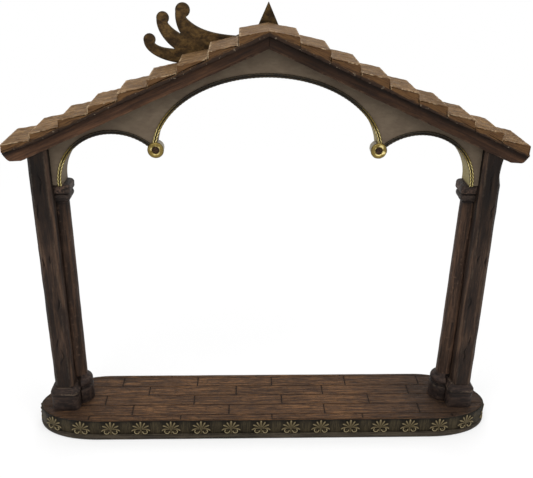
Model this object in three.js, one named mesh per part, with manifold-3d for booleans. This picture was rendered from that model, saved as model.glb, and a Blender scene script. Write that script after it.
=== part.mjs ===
// Nativity stable in cast resin: a planked, round-ended base carries two piers, each a square post
// with a round column against it. The piers carry a triple-arched valance and a stepped shingle roof,
// with a comet star standing up behind the ridge.
// Millimetres, +Z up, -Y is the front. The origin is on the table, under the middle of the base.
import * as THREE from 'three';
import { mergeVertices } from 'three/addons/utils/BufferGeometryUtils.js';
import Module from 'manifold-3d';

const wasm = await Module();
wasm.setup();

// Clearances and general
const SEAT_GAP = 0.3; // between pieces that meet on a slope or round a curve
const HOLE_CLEARANCE = 0.3; // on the radius, round every pin and screw
const MERGE_TOLERANCE = 1e-4;
const OVERCUT = 1; // how far a cutting shape runs past the face that it opens
const DEGREE = Math.PI / 180;

// Base: a lip on the table, a recessed ornament band, and the planked deck as its upper edge
const DECK_TIP_OVERHANG = 29.5; // tip of the rounded end beyond the post's axis
const DECK_END_REACH = 65; // from the end of the straight side to the tip of the rounded end
const DECK_HALF_DEPTH = 39.2;
const END_FULLNESS = 2.1; // exponent of the end curve: 2 is an ellipse, more is squarer
const END_STEPS = 16;
const LIP_OVERHANG = 3;
const LIP_HEIGHT = 4.6;
const BAND_HEIGHT = 14.2;
const BAND_RECESS = 1.2;
const BAND_THICKNESS = 1.6;
const DECK_THICKNESS = 2.2;
const EDGE_CHAMFER = 0.5;

// Planks of the deck
const PLANK_WIDTH = 16.3;
const FIRST_SEAM_Y = -30.4;
const SEAM_COUNT = 5;
// From the front row to the back row: X of the first butt joint and the spacing of the joints
const PLANK_ROWS = [[-177, 92], [-232.2, 97.8], [-164.3, 91.2], [-213, 91.7], [-151.1, 79.8], [-192, 92]];
const GROOVE_WIDTH = 0.8;
const GROOVE_DEPTH = 0.8;

// Palmettes on the band
const PALMETTE_PITCH = 30.6;
const PALMETTE_SHIFT = -3.5; // of the front middle palmette from the middle of the base
const PALMETTE_ROOT_RISE = 3.6; // from the foot of the band to the point that the leaves fan from
const PALMETTE_MARGIN = 0.3; // clear of the lip below and the deck above
const LEAF_COUNT = 7;
const LEAF_FAN = 152; // degrees from the first leaf to the last
const LEAF_VALLEY = 0.55; // depth of the notch between leaves, as a share of the leaf
const LEAF_BLUNTNESS = 6; // degrees each way from the leaf's middle to its shoulders
const CURL_OFFSET = 4.7;
const CURL_RADIUS = 2.5;
const CURL_START = -150; // degrees, inside its foot
const CURL_SWEEP = 190;
const CURL_STEPS = 4;
const PALMETTE_RELIEF = 1;
const PALMETTE_BED = 0.6; // how deep its back lies inside the band

// Felt pads and base screws
const PAD_RADIUS = 7;
const PAD_THICKNESS = 2;
const PAD_STAND = 1; // how far the pads hold the lip off the table
const PAD_X = 150;
const PAD_Y = 24;
const SCREW_RADIUS = 1.9;
const SCREW_HEAD_RADIUS = 3.6;
const SCREW_HEAD_HEIGHT = 2.4;
const SCREW_HEAD_ROUND = 0.9;
const COUNTERBORE_DEPTH = 6;
const SCREW_GRIP = 15; // length of screw above the deck
const SCREW_POINT = 2;

// Roof
const EAVE_OVERHANG = 29.8; // tip of the eave beyond the post's axis
const EAVE_LIFT = 41.4; // tip of the eave above the capitals
const ROOF_SLOPE = 0.4505; // rise for each millimetre towards the ridge
const RIDGE_CAP_HALF = 25.4;
const RIDGE_CREST_THICKNESS = 1.7; // of the cap over the peak of the slabs
const COURSE_COUNT = 8;
const COURSE_RISER = 6; // step from one course up to the next
const BUTT_THICKNESS = 8.6;
const BUTT_WEAR = 1; // rounded-off corner of each butt
const SHINGLE_CHAMFER = 0.6;
const ROOF_DEPTH = 54;
const ROOF_MID_Y = 2.5;
const SLAB_THICKNESS = 12; // measured straight up
const EAVE_SETBACK = 0.6; // end of the slab inside the tip of the first course
const EAVE_ROUND = 6.6; // radius of the slab's lower corner at the eave
const EAVE_ROUND_STEPS = 6;
const BARGE_SETBACK = 4; // front of the barge board behind the ends of the shingles
const BARGE_THICKNESS = 5.4;
const BARGE_CHAMFER = 0.7;
const MITRE_GAP = 0.3;

// Piers: post and plinth in front, column behind and inside
const POST_X = 200.8;
const POST_WIDTH = 21;
const POST_DEPTH = 17;
const POST_BACK_INSET = 5; // back of the post in front of the column's axis
const POST_FRONT_CHAMFER = 3;
const POST_REAR_CHAMFER = 1;
const PLINTH_SPREAD = 3.6; // plinth beyond the post, on every side
const PLINTH_CHAMFER = 5.5;
const PLINTH_BLOCK_INSET = 1;
const PLINTH_BLOCK_HEIGHT = 18;
const PLINTH_MOULDING_HEIGHT = 4.2;
const PLINTH_BEVEL_HEIGHT = 4;
const PLINTH_TOP_MARGIN = 0.7; // top of the bevel beyond the post
const COLUMN_INSET = 9.4; // column's axis inside the post's axis
const SHAFT_RADIUS = 8.9;
const COLUMN_DRUM_RADIUS = 14;
const COLUMN_DRUM_HEIGHT = 16.5;
const COLUMN_GROOVE = 1.8;
const TORUS_RADIUS = 4.4;
const TORUS_START = -72; // degrees from level, where the torus rises from the groove
const TORUS_SWEEP = 162;
const TORUS_STEPS = 6;
const COLUMN_FILLET_HEIGHT = 4.2;
const CAPITAL_TOP = 238; // above the deck
const CAPITAL_HALF = 12.8;
const ABACUS_HEIGHT = 9;
const ABACUS_CHAMFER = 1.6;
const CUSHION_HEIGHT = 9.2;
const CUSHION_HALF = 12;
const CUSHION_ROUND = 3;
const CUSHION_STEPS = 3;
const CAPITAL_CORNER = 2.6;
const CORNER_STEPS = 2;
const ROUND_STEPS = 24;

// Valance and its arches
const VALANCE_DEPTH = 23.6;
const VALANCE_FRONT_REACH = 13; // face of the valance before the columns' axis
const ARCH_HALF_WIDTH = 99;
const ARCH_CROWN_DROP = 26.3; // crown of the middle arch below the peak of the roof's underside
const ARCH_SPRING_LIFT = 27; // its springing above that of the side arches
const ARCH_OVERLAP = 9.5; // width that the middle arch shares with each side arch
const SIDE_ARCH_FOOT_INSET = 6.9; // outer foot of a side arch inside the column's axis
const SIDE_ARCH_STILT = 3; // springing of a side arch above the capital
const SIDE_ARCH_CROWN_DROP = 14.5; // crown of a side arch below the roof's underside there
const ARCH_STEPS = 30;
const SIDE_ARCH_STEPS = 18;
const CUSP_HALVINGS = 40;

// Cord moulding round the arches: two beads on a flat fillet
const CORD_WIDTH = 3.1;
const CORD_BEAD = 1.15;
const CORD_FILLET_RELIEF = 0.5;
const CORD_BEAD_RELIEF = 1.2;

// Roundels over the cusps
const ROUNDEL_RADIUS = 7.4;
const ROUNDEL_DEPTH = 13;
const ROUNDEL_STAND = 2.6; // front of the roundel before the valance
const ROUNDEL_RISE = 3.6; // centre of the roundel above the cusp
const ROUNDEL_SHIFT = 0.1; // and outside it
const ROUNDEL_BORE = 3.7;
const ROUNDEL_BORE_DEPTH = 3;
const ROUNDEL_PLUG_THICKNESS = 1.2;
const ROUNDEL_STEPS = 20;
const RIM_STEPS = 4;

// Pins between the piers and what they carry
const POST_PIN_RADIUS = 2;
const POST_PIN_GRIP = 14; // length in the post
const POST_PIN_RISE = 6; // length in the roof slab
const CAPITAL_PIN_RADIUS = 1.5;
const CAPITAL_PIN_GRIP = 10;
const CAPITAL_PIN_RISE = 12;
const CAPITAL_PIN_INSET = 4; // outwards and back from the column's axis
const PIN_STEPS = 12;

// Comet star behind the ridge
const STAR_TIP_RISE = 17.6; // above the crest of the ridge cap
const STAR_POINTS = 4;
const STAR_REACH = 30;
const STAR_WAIST = 13.1; // radius of the notch between two points
const COMET_THICKNESS = 2.5;
const COMET_CHAMFER = 0.5;
const TAIL_TOP = 0.5; // where the tail's edges leave the star, above and below its middle
const TAIL_FOOT = -12;
const COMET_PIN_RADIUS = 1.4;
const COMET_PIN_HEAD = 2.7;
const COMET_PIN_HEAD_HEIGHT = 1.4;
const COMET_PIN_HEAD_ROUND = 0.6;
const COMET_PIN_GRIP = 9;
const COMET_PIN_XS = [-20, -50];
// Each plume of the tail from the top: the curled knob, its start and end angles in degrees, the curve
// that runs down its outer side, the notch that it ends in, and the curve from there to the next knob.
// Places and radii count widths of a grid from the middle of the star.
const TAIL_GRID_WIDTH = 1;
const TAIL_TOP_CURVE = [[-42, -0.7], [-62.5, 3.6]];
const TAIL_FOOT_CURVE = [[-64, -27], [-34, -22]];
const PLUME_STEPS = 5;
const PLUMES = [
  {
    knob: [-76, 21.9], radius: 6.5, from: -66, to: 190,
    outer: [[-83.3, 14.5], [-81.6, 7.5]], notch: [-78.4, 1.9], inner: [[-81, 3.6], [-86.6, 6.6]],
  },
  {
    knob: [-93.6, 15.2], radius: 5.6, from: -42, to: 190,
    outer: [[-99.9, 6.5], [-93.9, -4.2]], notch: [-84.1, -11.3], inner: [[-88.5, -10.6], [-96.4, -11]],
  },
  {
    knob: [-106, -3.4], radius: 5.4, from: -35, to: 195,
    outer: [[-110.6, -13.7], [-99, -20.6]], notch: [-84.5, -23.2], inner: TAIL_FOOT_CURVE,
  },
];

// Levels and faces that several pieces share
const LIP_TOP_Z = PAD_STAND + LIP_HEIGHT;
const BAND_TOP_Z = LIP_TOP_Z + BAND_HEIGHT;
const DECK_Z = BAND_TOP_Z + DECK_THICKNESS;
const PLINTH_TOP_Z = DECK_Z + PLINTH_BLOCK_HEIGHT + PLINTH_MOULDING_HEIGHT + PLINTH_BEVEL_HEIGHT;
const CAPITAL_TOP_Z = DECK_Z + CAPITAL_TOP;
const CAPITAL_BASE_Z = CAPITAL_TOP_Z - ABACUS_HEIGHT - CUSHION_HEIGHT;
const DECK_STRAIGHT_HALF = POST_X + DECK_TIP_OVERHANG - DECK_END_REACH;
const COLUMN_X = POST_X - COLUMN_INSET;
const EAVE_Z = CAPITAL_TOP_Z + EAVE_LIFT;
const EAVE_HALF_SPAN = POST_X + EAVE_OVERHANG;
const COURSE_PITCH = (EAVE_HALF_SPAN - RIDGE_CAP_HALF) / COURSE_COUNT;
const ROOF_FRONT_Y = ROOF_MID_Y - ROOF_DEPTH / 2;
const ROOF_BACK_Y = ROOF_MID_Y + ROOF_DEPTH / 2;
const BARGE_FRONT_Y = ROOF_FRONT_Y + BARGE_SETBACK;
const SLAB_FRONT_Y = BARGE_FRONT_Y + BARGE_THICKNESS + SEAT_GAP;
const POST_BACK_Y = ROOF_MID_Y - POST_BACK_INSET;
const POST_FRONT_Y = POST_BACK_Y - POST_DEPTH;
const POST_Y = (POST_FRONT_Y + POST_BACK_Y) / 2;
const POST_PIN_Y = (SLAB_FRONT_Y + POST_BACK_Y) / 2; // under the slab, behind the barge board
const VALANCE_FRONT_Y = ROOF_MID_Y - VALANCE_FRONT_REACH;
const VALANCE_OUTER_X = COLUMN_X + CAPITAL_HALF;
const SLAB_TOP_DROP = BUTT_THICKNESS + SEAT_GAP; // below the line through the butts' corners
const SLAB_FOOT_DROP = SLAB_TOP_DROP + SLAB_THICKNESS;
const COMET_FRONT_Y = ROOF_BACK_Y + SEAT_GAP;
const COMET_BACK_Y = COMET_FRONT_Y + COMET_THICKNESS;
const COLUMN_SCREW_X = COLUMN_X - SHAFT_RADIUS / 3;
const COLUMN_SCREW_Y = POST_BACK_Y + PLINTH_SPREAD + SCREW_HEAD_RADIUS + SCREW_RADIUS;

// Height of the line through the corners of the butts, at a distance from the middle
function roofLine(x) {
  return EAVE_Z + (EAVE_HALF_SPAN - Math.abs(x)) * ROOF_SLOPE;
}

// Height of the roof's underside, less the clearance for what stands below it
function underRoof(x) {
  return roofLine(x) - SLAB_FOOT_DROP - SEAT_GAP;
}

const RIDGE_Z = roofLine(0) - BUTT_THICKNESS + RIDGE_CREST_THICKNESS;
const STAR_Z = RIDGE_Z + STAR_TIP_RISE - STAR_REACH;
const SIDE_ARCH_FOOT_X = COLUMN_X - SIDE_ARCH_FOOT_INSET;
const SIDE_ARCH_HALF_WIDTH = (SIDE_ARCH_FOOT_X - ARCH_HALF_WIDTH + ARCH_OVERLAP) / 2;
const SIDE_ARCH_X = SIDE_ARCH_FOOT_X - SIDE_ARCH_HALF_WIDTH;
const SIDE_ARCH_SPRING_Z = CAPITAL_TOP_Z + SIDE_ARCH_STILT;
const SIDE_ARCH_RISE = underRoof(SIDE_ARCH_X) - SIDE_ARCH_CROWN_DROP - SIDE_ARCH_SPRING_Z;
const ARCH_SPRING_Z = SIDE_ARCH_SPRING_Z + ARCH_SPRING_LIFT;
const ARCH_RISE = underRoof(0) - ARCH_CROWN_DROP - ARCH_SPRING_Z;
const MIDDLE_ARCH = { x: 0, halfWidth: ARCH_HALF_WIDTH, rise: ARCH_RISE, spring: ARCH_SPRING_Z };
const SIDE_ARCH = {
  x: SIDE_ARCH_X, halfWidth: SIDE_ARCH_HALF_WIDTH, rise: SIDE_ARCH_RISE, spring: SIDE_ARCH_SPRING_Z,
};

function material(color, roughness, metalness) {
  return new THREE.MeshStandardMaterial({ color, roughness, metalness });
}

const FINISH = {
  deck: material(0x6b4c35, 0.7, 0),
  base: material(0x4a4034, 0.75, 0),
  frieze: material(0x6a6045, 0.6, 0.2),
  post: material(0x352b28, 0.7, 0),
  column: material(0x52362a, 0.65, 0),
  valance: material(0x635749, 0.8, 0),
  gilt: material(0xb09a58, 0.35, 0.8),
  plug: material(0x33241f, 0.6, 0),
  barge: material(0x45302a, 0.7, 0),
  slab: material(0x372723, 0.8, 0),
  shingle: material(0x8a6a4a, 0.75, 0),
  comet: material(0x6b5533, 0.45, 0.7),
  steel: material(0x8c8c90, 0.35, 0.9),
  felt: material(0x2c3a2c, 0.95, 0),
};

// Solids from closed meshes, and back
function solidOf(geometry) {
  const bare = geometry.clone();
  bare.deleteAttribute('normal');
  bare.deleteAttribute('uv');
  const merged = mergeVertices(bare, MERGE_TOLERANCE);
  const mesh = new wasm.Mesh({
    numProp: 3,
    vertProperties: new Float32Array(merged.attributes.position.array),
    triVerts: new Uint32Array(merged.index.array),
  });
  return new wasm.Manifold(mesh);
}

function geometryOf(solid) {
  const mesh = solid.getMesh();
  const geometry = new THREE.BufferGeometry();
  geometry.setAttribute('position', new THREE.BufferAttribute(mesh.vertProperties, 3));
  geometry.setIndex(new THREE.BufferAttribute(mesh.triVerts, 1));
  geometry.computeVertexNormals();
  return geometry;
}

function joined(...geometries) {
  const solids = geometries.map(solidOf);
  return geometryOf(solids.reduce((sum, solid) => sum.add(solid)));
}

function cutBy(geometry, ...cutters) {
  const solids = cutters.map(solidOf);
  return geometryOf(solids.reduce((rest, cutter) => rest.subtract(cutter), solidOf(geometry)));
}

// The same points on the other side of the middle, in the order that carries the outline on
function mirrored(points) {
  return points.map(([x, y]) => [-x, y]).reverse();
}

function shapeOf(points) {
  return new THREE.Shape(points.map(([x, y]) => new THREE.Vector2(x, y)));
}

// A flat outline made thick upwards, with both its rims chamfered inside the outline, or rounded if
// the chamfer is taken in several steps
function raised(outline, foot, height, chamfer = 0, steps = 1) {
  const geometry = new THREE.ExtrudeGeometry(outline, {
    depth: height - 2 * chamfer,
    bevelEnabled: chamfer > 0,
    bevelThickness: chamfer,
    bevelSize: chamfer,
    bevelOffset: -chamfer,
    bevelSegments: steps,
    curveSegments: CORNER_STEPS,
  });
  geometry.translate(0, 0, foot + chamfer);
  return geometry;
}

// The same for an upright outline in X and Z, made thick from front to back
function deepened(outline, front, depth, chamfer = 0) {
  const geometry = raised(outline, 0, depth, chamfer);
  geometry.rotateX(Math.PI / 2);
  geometry.translate(0, front + depth, 0);
  return geometry;
}

function turned(points, steps = ROUND_STEPS) {
  return new THREE.LatheGeometry(points.map(([x, y]) => new THREE.Vector2(x, y)), steps);
}

// A profile of radius and height turned round an upright axis
function turnedUpright(points, x, y, foot, steps = ROUND_STEPS) {
  const geometry = turned(points, steps);
  geometry.rotateX(Math.PI / 2);
  geometry.translate(x, y, foot);
  return geometry;
}

function rod(radius, foot, top, x, y, steps = PIN_STEPS) {
  const geometry = new THREE.CylinderGeometry(radius, radius, top - foot, steps);
  geometry.rotateX(Math.PI / 2);
  geometry.translate(x, y, (foot + top) / 2);
  return geometry;
}

function rodAlongY(radius, front, back, x, z, steps = PIN_STEPS) {
  const geometry = new THREE.CylinderGeometry(radius, radius, back - front, steps);
  geometry.translate(x, (front + back) / 2, z);
  return geometry;
}

function box(x0, x1, y0, y1, z0, z1) {
  const geometry = new THREE.BoxGeometry(x1 - x0, y1 - y0, z1 - z0);
  geometry.translate((x0 + x1) / 2, (y0 + y1) / 2, (z0 + z1) / 2);
  return geometry;
}

// A rectangle with its four corners cut off, front corners and rear corners by their own amounts
function chamferedRectangle(halfWidth, halfDepth, front, rear) {
  return shapeOf([
    [-halfWidth + front, -halfDepth], [halfWidth - front, -halfDepth],
    [halfWidth, -halfDepth + front], [halfWidth, halfDepth - rear],
    [halfWidth - rear, halfDepth], [-halfWidth + rear, halfDepth],
    [-halfWidth, halfDepth - rear], [-halfWidth, -halfDepth + front],
  ]);
}

function roundedSquare(half, corner) {
  const shape = new THREE.Shape();
  const inner = half - corner;
  shape.absarc(inner, inner, corner, 0, Math.PI / 2);
  shape.absarc(-inner, inner, corner, Math.PI / 2, Math.PI);
  shape.absarc(-inner, -inner, corner, Math.PI, 1.5 * Math.PI);
  shape.absarc(inner, -inner, corner, 1.5 * Math.PI, 2 * Math.PI);
  return shape;
}

// Plan of the base, grown or shrunk from the deck's edge, from the middle of the front round to the
// right. Each end is |x/a|^n + |y/b|^n = 1 past the straight sides.
function basePlan(grow) {
  const reach = DECK_END_REACH + grow;
  const halfDepth = DECK_HALF_DEPTH + grow;
  const power = 2 / END_FULLNESS;
  const points = [[0, -halfDepth]];
  for (const side of [1, -1]) {
    for (let i = 0; i <= END_STEPS; i += 1) {
      const angle = (i / END_STEPS - 0.5) * Math.PI;
      const along = Math.abs(Math.cos(angle)) ** power * reach;
      const across = Math.sign(Math.sin(angle)) * Math.abs(Math.sin(angle)) ** power * halfDepth;
      points.push([side * (DECK_STRAIGHT_HALF + along), side * across]);
    }
  }
  return points;
}

// Places of the screws: one up into each plinth and one into each column base
function screwPlaces() {
  const places = {};
  for (const [name, side] of [['left', -1], ['right', 1]]) {
    places[`post_screw_${name}`] = [side * POST_X, POST_Y];
    places[`column_screw_${name}`] = [side * COLUMN_SCREW_X, COLUMN_SCREW_Y];
  }
  return places;
}

function padPlaces() {
  return {
    felt_pad_front_left: [-PAD_X, -PAD_Y],
    felt_pad_front_right: [PAD_X, -PAD_Y],
    felt_pad_rear_left: [-PAD_X, PAD_Y],
    felt_pad_rear_right: [PAD_X, PAD_Y],
  };
}

function baseBody() {
  const core = -BAND_RECESS - BAND_THICKNESS - SEAT_GAP;
  const lip = raised(shapeOf(basePlan(LIP_OVERHANG)), PAD_STAND, LIP_HEIGHT, EDGE_CHAMFER);
  const foot = PAD_STAND + EDGE_CHAMFER;
  const waist = raised(shapeOf(basePlan(core)), foot, BAND_TOP_Z - foot);
  const cutters = [];
  for (const [x, y] of Object.values(padPlaces())) {
    cutters.push(rod(PAD_RADIUS + SEAT_GAP, PAD_STAND - OVERCUT, PAD_THICKNESS, x, y, ROUND_STEPS));
  }
  for (const [x, y] of Object.values(screwPlaces())) {
    const shoulder = PAD_STAND + COUNTERBORE_DEPTH;
    cutters.push(rod(SCREW_HEAD_RADIUS + SEAT_GAP, PAD_STAND - OVERCUT, shoulder, x, y));
    cutters.push(rod(SCREW_RADIUS + HOLE_CLEARANCE, shoulder - OVERCUT, DECK_Z, x, y));
  }
  return cutBy(joined(lip, waist), ...cutters);
}

// Outline of one palmette, x across and y up from the foot of the band: two curls at the foot and a
// fan of blunt leaves between them
function palmetteOutline() {
  const curl = [];
  for (let i = 0; i <= CURL_STEPS; i += 1) {
    const turn = (CURL_START + (i / CURL_STEPS) * CURL_SWEEP) * DEGREE;
    const x = CURL_OFFSET + CURL_RADIUS * Math.cos(turn);
    curl.push([x, PALMETTE_MARGIN + CURL_RADIUS * (1 + Math.sin(turn))]);
  }
  const fan = [];
  const longest = BAND_HEIGHT - PALMETTE_MARGIN - PALMETTE_ROOT_RISE;
  const pitch = LEAF_FAN / (LEAF_COUNT - 1);
  for (let leaf = 0; leaf < LEAF_COUNT; leaf += 1) {
    const middle = (180 - LEAF_FAN) / 2 + leaf * pitch;
    const stops = [[middle - LEAF_BLUNTNESS, 1], [middle + LEAF_BLUNTNESS, 1]];
    if (leaf < LEAF_COUNT - 1) stops.push([middle + pitch / 2, LEAF_VALLEY]);
    for (const [turn, share] of stops) {
      const reach = longest * share;
      fan.push([reach * Math.cos(turn * DEGREE), PALMETTE_ROOT_RISE + reach * Math.sin(turn * DEGREE)]);
    }
  }
  return shapeOf([...curl, ...fan, ...mirrored(curl)]);
}

// One palmette bent round the band: across becomes the way along the band's edge
function bentPalmette(edge, perimeter, middle) {
  const geometry = raised(palmetteOutline(), -PALMETTE_BED, PALMETTE_RELIEF + PALMETTE_BED);
  const position = geometry.attributes.position;
  for (let i = 0; i < position.count; i += 1) {
    const way = (middle + position.getX(i) / perimeter + 1) % 1;
    const place = edge.getPointAt(way);
    const tangent = edge.getTangentAt(way);
    const out = position.getZ(i);
    position.setXYZ(i, place.x + tangent.y * out, place.y - tangent.x * out, LIP_TOP_Z + position.getY(i));
  }
  return geometry;
}

function palmetteFrieze() {
  const outline = shapeOf(basePlan(-BAND_RECESS));
  outline.closePath();
  const perimeter = outline.getLength();
  const count = Math.round(perimeter / PALMETTE_PITCH);
  const ring = shapeOf(basePlan(-BAND_RECESS));
  ring.holes.push(new THREE.Path(shapeOf(basePlan(-BAND_RECESS - BAND_THICKNESS)).getPoints()));
  const palmettes = [];
  const shift = PALMETTE_SHIFT / perimeter;
  for (let i = 0; i < count; i += 1) palmettes.push(bentPalmette(outline, perimeter, i / count + shift));
  return joined(raised(ring, LIP_TOP_Z, BAND_HEIGHT), ...palmettes);
}

function plankDeck() {
  const board = raised(shapeOf(basePlan(0)), BAND_TOP_Z, DECK_THICKNESS, EDGE_CHAMFER);
  const cutters = [];
  const reach = POST_X + DECK_TIP_OVERHANG;
  const foot = DECK_Z - GROOVE_DEPTH;
  const top = DECK_Z + OVERCUT;
  for (let seam = 0; seam < SEAM_COUNT; seam += 1) {
    const y = FIRST_SEAM_Y + seam * PLANK_WIDTH;
    const half = GROOVE_WIDTH / 2;
    cutters.push(box(-reach - OVERCUT, reach + OVERCUT, y - half, y + half, foot, top));
  }
  PLANK_ROWS.forEach(([start, spacing], row) => {
    const low = FIRST_SEAM_Y + (row - 1) * PLANK_WIDTH;
    for (let x = start; x < reach; x += spacing) {
      cutters.push(box(x - GROOVE_WIDTH / 2, x + GROOVE_WIDTH / 2, low, low + PLANK_WIDTH, foot, top));
    }
  });
  for (const [x, y] of Object.values(screwPlaces())) {
    cutters.push(rod(SCREW_RADIUS + HOLE_CLEARANCE, BAND_TOP_Z - OVERCUT, top, x, y));
  }
  return cutBy(board, ...cutters);
}

// A screw standing head down in its counterbore
function baseScrew(x, y) {
  const top = DECK_Z + SCREW_GRIP - PAD_STAND - COUNTERBORE_DEPTH + SCREW_HEAD_HEIGHT;
  const profile = [
    [0, 0], [SCREW_HEAD_RADIUS - SCREW_HEAD_ROUND, 0], [SCREW_HEAD_RADIUS, SCREW_HEAD_ROUND],
    [SCREW_HEAD_RADIUS, SCREW_HEAD_HEIGHT], [SCREW_RADIUS, SCREW_HEAD_HEIGHT],
    [SCREW_RADIUS, top - SCREW_POINT], [0, top],
  ];
  return turnedUpright(profile, x, y, PAD_STAND + COUNTERBORE_DEPTH - SCREW_HEAD_HEIGHT, PIN_STEPS);
}

// Everything from the underside of one roof slab upwards, as deep as the post
function roofRoom(side) {
  const outer = EAVE_HALF_SPAN + OVERCUT;
  const height = roofLine(0) + OVERCUT;
  const points = [[0, underRoof(0)], [outer, underRoof(outer)], [outer, height], [0, height]];
  const outline = shapeOf(points.map(([x, z]) => [side * x, z]));
  return deepened(outline, POST_FRONT_Y - OVERCUT, POST_DEPTH + 2 * OVERCUT);
}

function postOutline(grow) {
  return chamferedRectangle(
    POST_WIDTH / 2 + grow, POST_DEPTH / 2 + grow, POST_FRONT_CHAMFER, POST_REAR_CHAMFER,
  );
}

function plinthOutline(grow) {
  const spread = PLINTH_SPREAD + grow;
  return chamferedRectangle(POST_WIDTH / 2 + spread, POST_DEPTH / 2 + spread, PLINTH_CHAMFER, PLINTH_CHAMFER);
}

function postPin(side, grow = 0) {
  const seat = roofLine(POST_X) - SLAB_FOOT_DROP;
  const x = side * POST_X;
  return rod(POST_PIN_RADIUS + grow, seat - POST_PIN_GRIP - grow, seat + POST_PIN_RISE + grow, x, POST_PIN_Y);
}

function post(side) {
  const shaft = raised(postOutline(0), PLINTH_TOP_Z, roofLine(POST_X) - PLINTH_TOP_Z);
  shaft.translate(side * POST_X, POST_Y, 0);
  return cutBy(shaft, roofRoom(side), postPin(side, HOLE_CLEARANCE));
}

// Block, moulding and bevel of the post's plinth. The bevel shrinks upwards towards the post.
function plinth(side) {
  const block = raised(plinthOutline(-PLINTH_BLOCK_INSET), 0, PLINTH_BLOCK_HEIGHT);
  const moulding = raised(plinthOutline(0), PLINTH_BLOCK_HEIGHT, PLINTH_MOULDING_HEIGHT, EDGE_CHAMFER);
  const foot = PLINTH_BLOCK_HEIGHT + PLINTH_MOULDING_HEIGHT - EDGE_CHAMFER;
  const height = PLINTH_BEVEL_HEIGHT + EDGE_CHAMFER;
  const bevel = raised(plinthOutline(-EDGE_CHAMFER), foot, height);
  const position = bevel.attributes.position;
  const halfWidth = POST_WIDTH / 2 + PLINTH_SPREAD - EDGE_CHAMFER;
  const halfDepth = POST_DEPTH / 2 + PLINTH_SPREAD - EDGE_CHAMFER;
  const topWidth = (POST_WIDTH / 2 + PLINTH_TOP_MARGIN) / halfWidth;
  const topDepth = (POST_DEPTH / 2 + PLINTH_TOP_MARGIN) / halfDepth;
  for (let i = 0; i < position.count; i += 1) {
    if (position.getZ(i) > foot + height / 2) {
      position.setX(i, position.getX(i) * topWidth);
      position.setY(i, position.getY(i) * topDepth);
    }
  }
  const whole = joined(block, moulding, bevel);
  whole.translate(side * POST_X, POST_Y, DECK_Z);
  return cutBy(whole, screwHole(side * POST_X, POST_Y));
}

// The hole of a screw in what stands on the deck
function screwHole(x, y) {
  return rod(SCREW_RADIUS + HOLE_CLEARANCE, DECK_Z - OVERCUT, DECK_Z + SCREW_GRIP + HOLE_CLEARANCE, x, y);
}

// The room that the post and its plinth take out of the pieces next to them
function postRoom(side) {
  const room = raised(postOutline(SEAT_GAP), PLINTH_TOP_Z - OVERCUT, roofLine(0) - PLINTH_TOP_Z);
  room.translate(side * POST_X, POST_Y, 0);
  return room;
}

function plinthRoom(side) {
  const room = raised(plinthOutline(SEAT_GAP), DECK_Z - OVERCUT, PLINTH_TOP_Z - DECK_Z + OVERCUT);
  room.translate(side * POST_X, POST_Y, 0);
  return room;
}

function columnBaseHeight() {
  return COLUMN_DRUM_HEIGHT + COLUMN_GROOVE + 2 * TORUS_RADIUS + COLUMN_FILLET_HEIGHT;
}

function columnBase(side) {
  const torusMiddle = COLUMN_DRUM_HEIGHT + COLUMN_GROOVE + TORUS_RADIUS;
  const torusAxis = COLUMN_DRUM_RADIUS - TORUS_RADIUS;
  const profile = [
    [0, 0], [COLUMN_DRUM_RADIUS, 0], [COLUMN_DRUM_RADIUS, COLUMN_DRUM_HEIGHT - EDGE_CHAMFER],
    [COLUMN_DRUM_RADIUS - EDGE_CHAMFER, COLUMN_DRUM_HEIGHT], [torusAxis + COLUMN_GROOVE, COLUMN_DRUM_HEIGHT],
  ];
  for (let i = 0; i <= TORUS_STEPS; i += 1) {
    const turn = (TORUS_START + (i / TORUS_STEPS) * TORUS_SWEEP) * DEGREE;
    profile.push([torusAxis + TORUS_RADIUS * Math.cos(turn), torusMiddle + TORUS_RADIUS * Math.sin(turn)]);
  }
  profile.push([SHAFT_RADIUS + EDGE_CHAMFER, columnBaseHeight() - COLUMN_FILLET_HEIGHT / 2]);
  profile.push([SHAFT_RADIUS, columnBaseHeight()], [0, columnBaseHeight()]);
  const whole = turnedUpright(profile, side * COLUMN_X, ROOF_MID_Y, DECK_Z);
  const hole = screwHole(side * COLUMN_SCREW_X, COLUMN_SCREW_Y);
  return cutBy(whole, postRoom(side), plinthRoom(side), hole);
}

function columnShaft(side) {
  const foot = DECK_Z + columnBaseHeight();
  const shaft = rod(SHAFT_RADIUS, foot, CAPITAL_BASE_Z, side * COLUMN_X, ROOF_MID_Y, ROUND_STEPS);
  return cutBy(shaft, postRoom(side), plinthRoom(side));
}

function capitalPin(side, grow = 0) {
  const x = side * (COLUMN_X + CAPITAL_PIN_INSET);
  const y = ROOF_MID_Y + CAPITAL_PIN_INSET;
  const foot = CAPITAL_TOP_Z - CAPITAL_PIN_GRIP - grow;
  return rod(CAPITAL_PIN_RADIUS + grow, foot, CAPITAL_TOP_Z + CAPITAL_PIN_RISE + grow, x, y);
}

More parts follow.
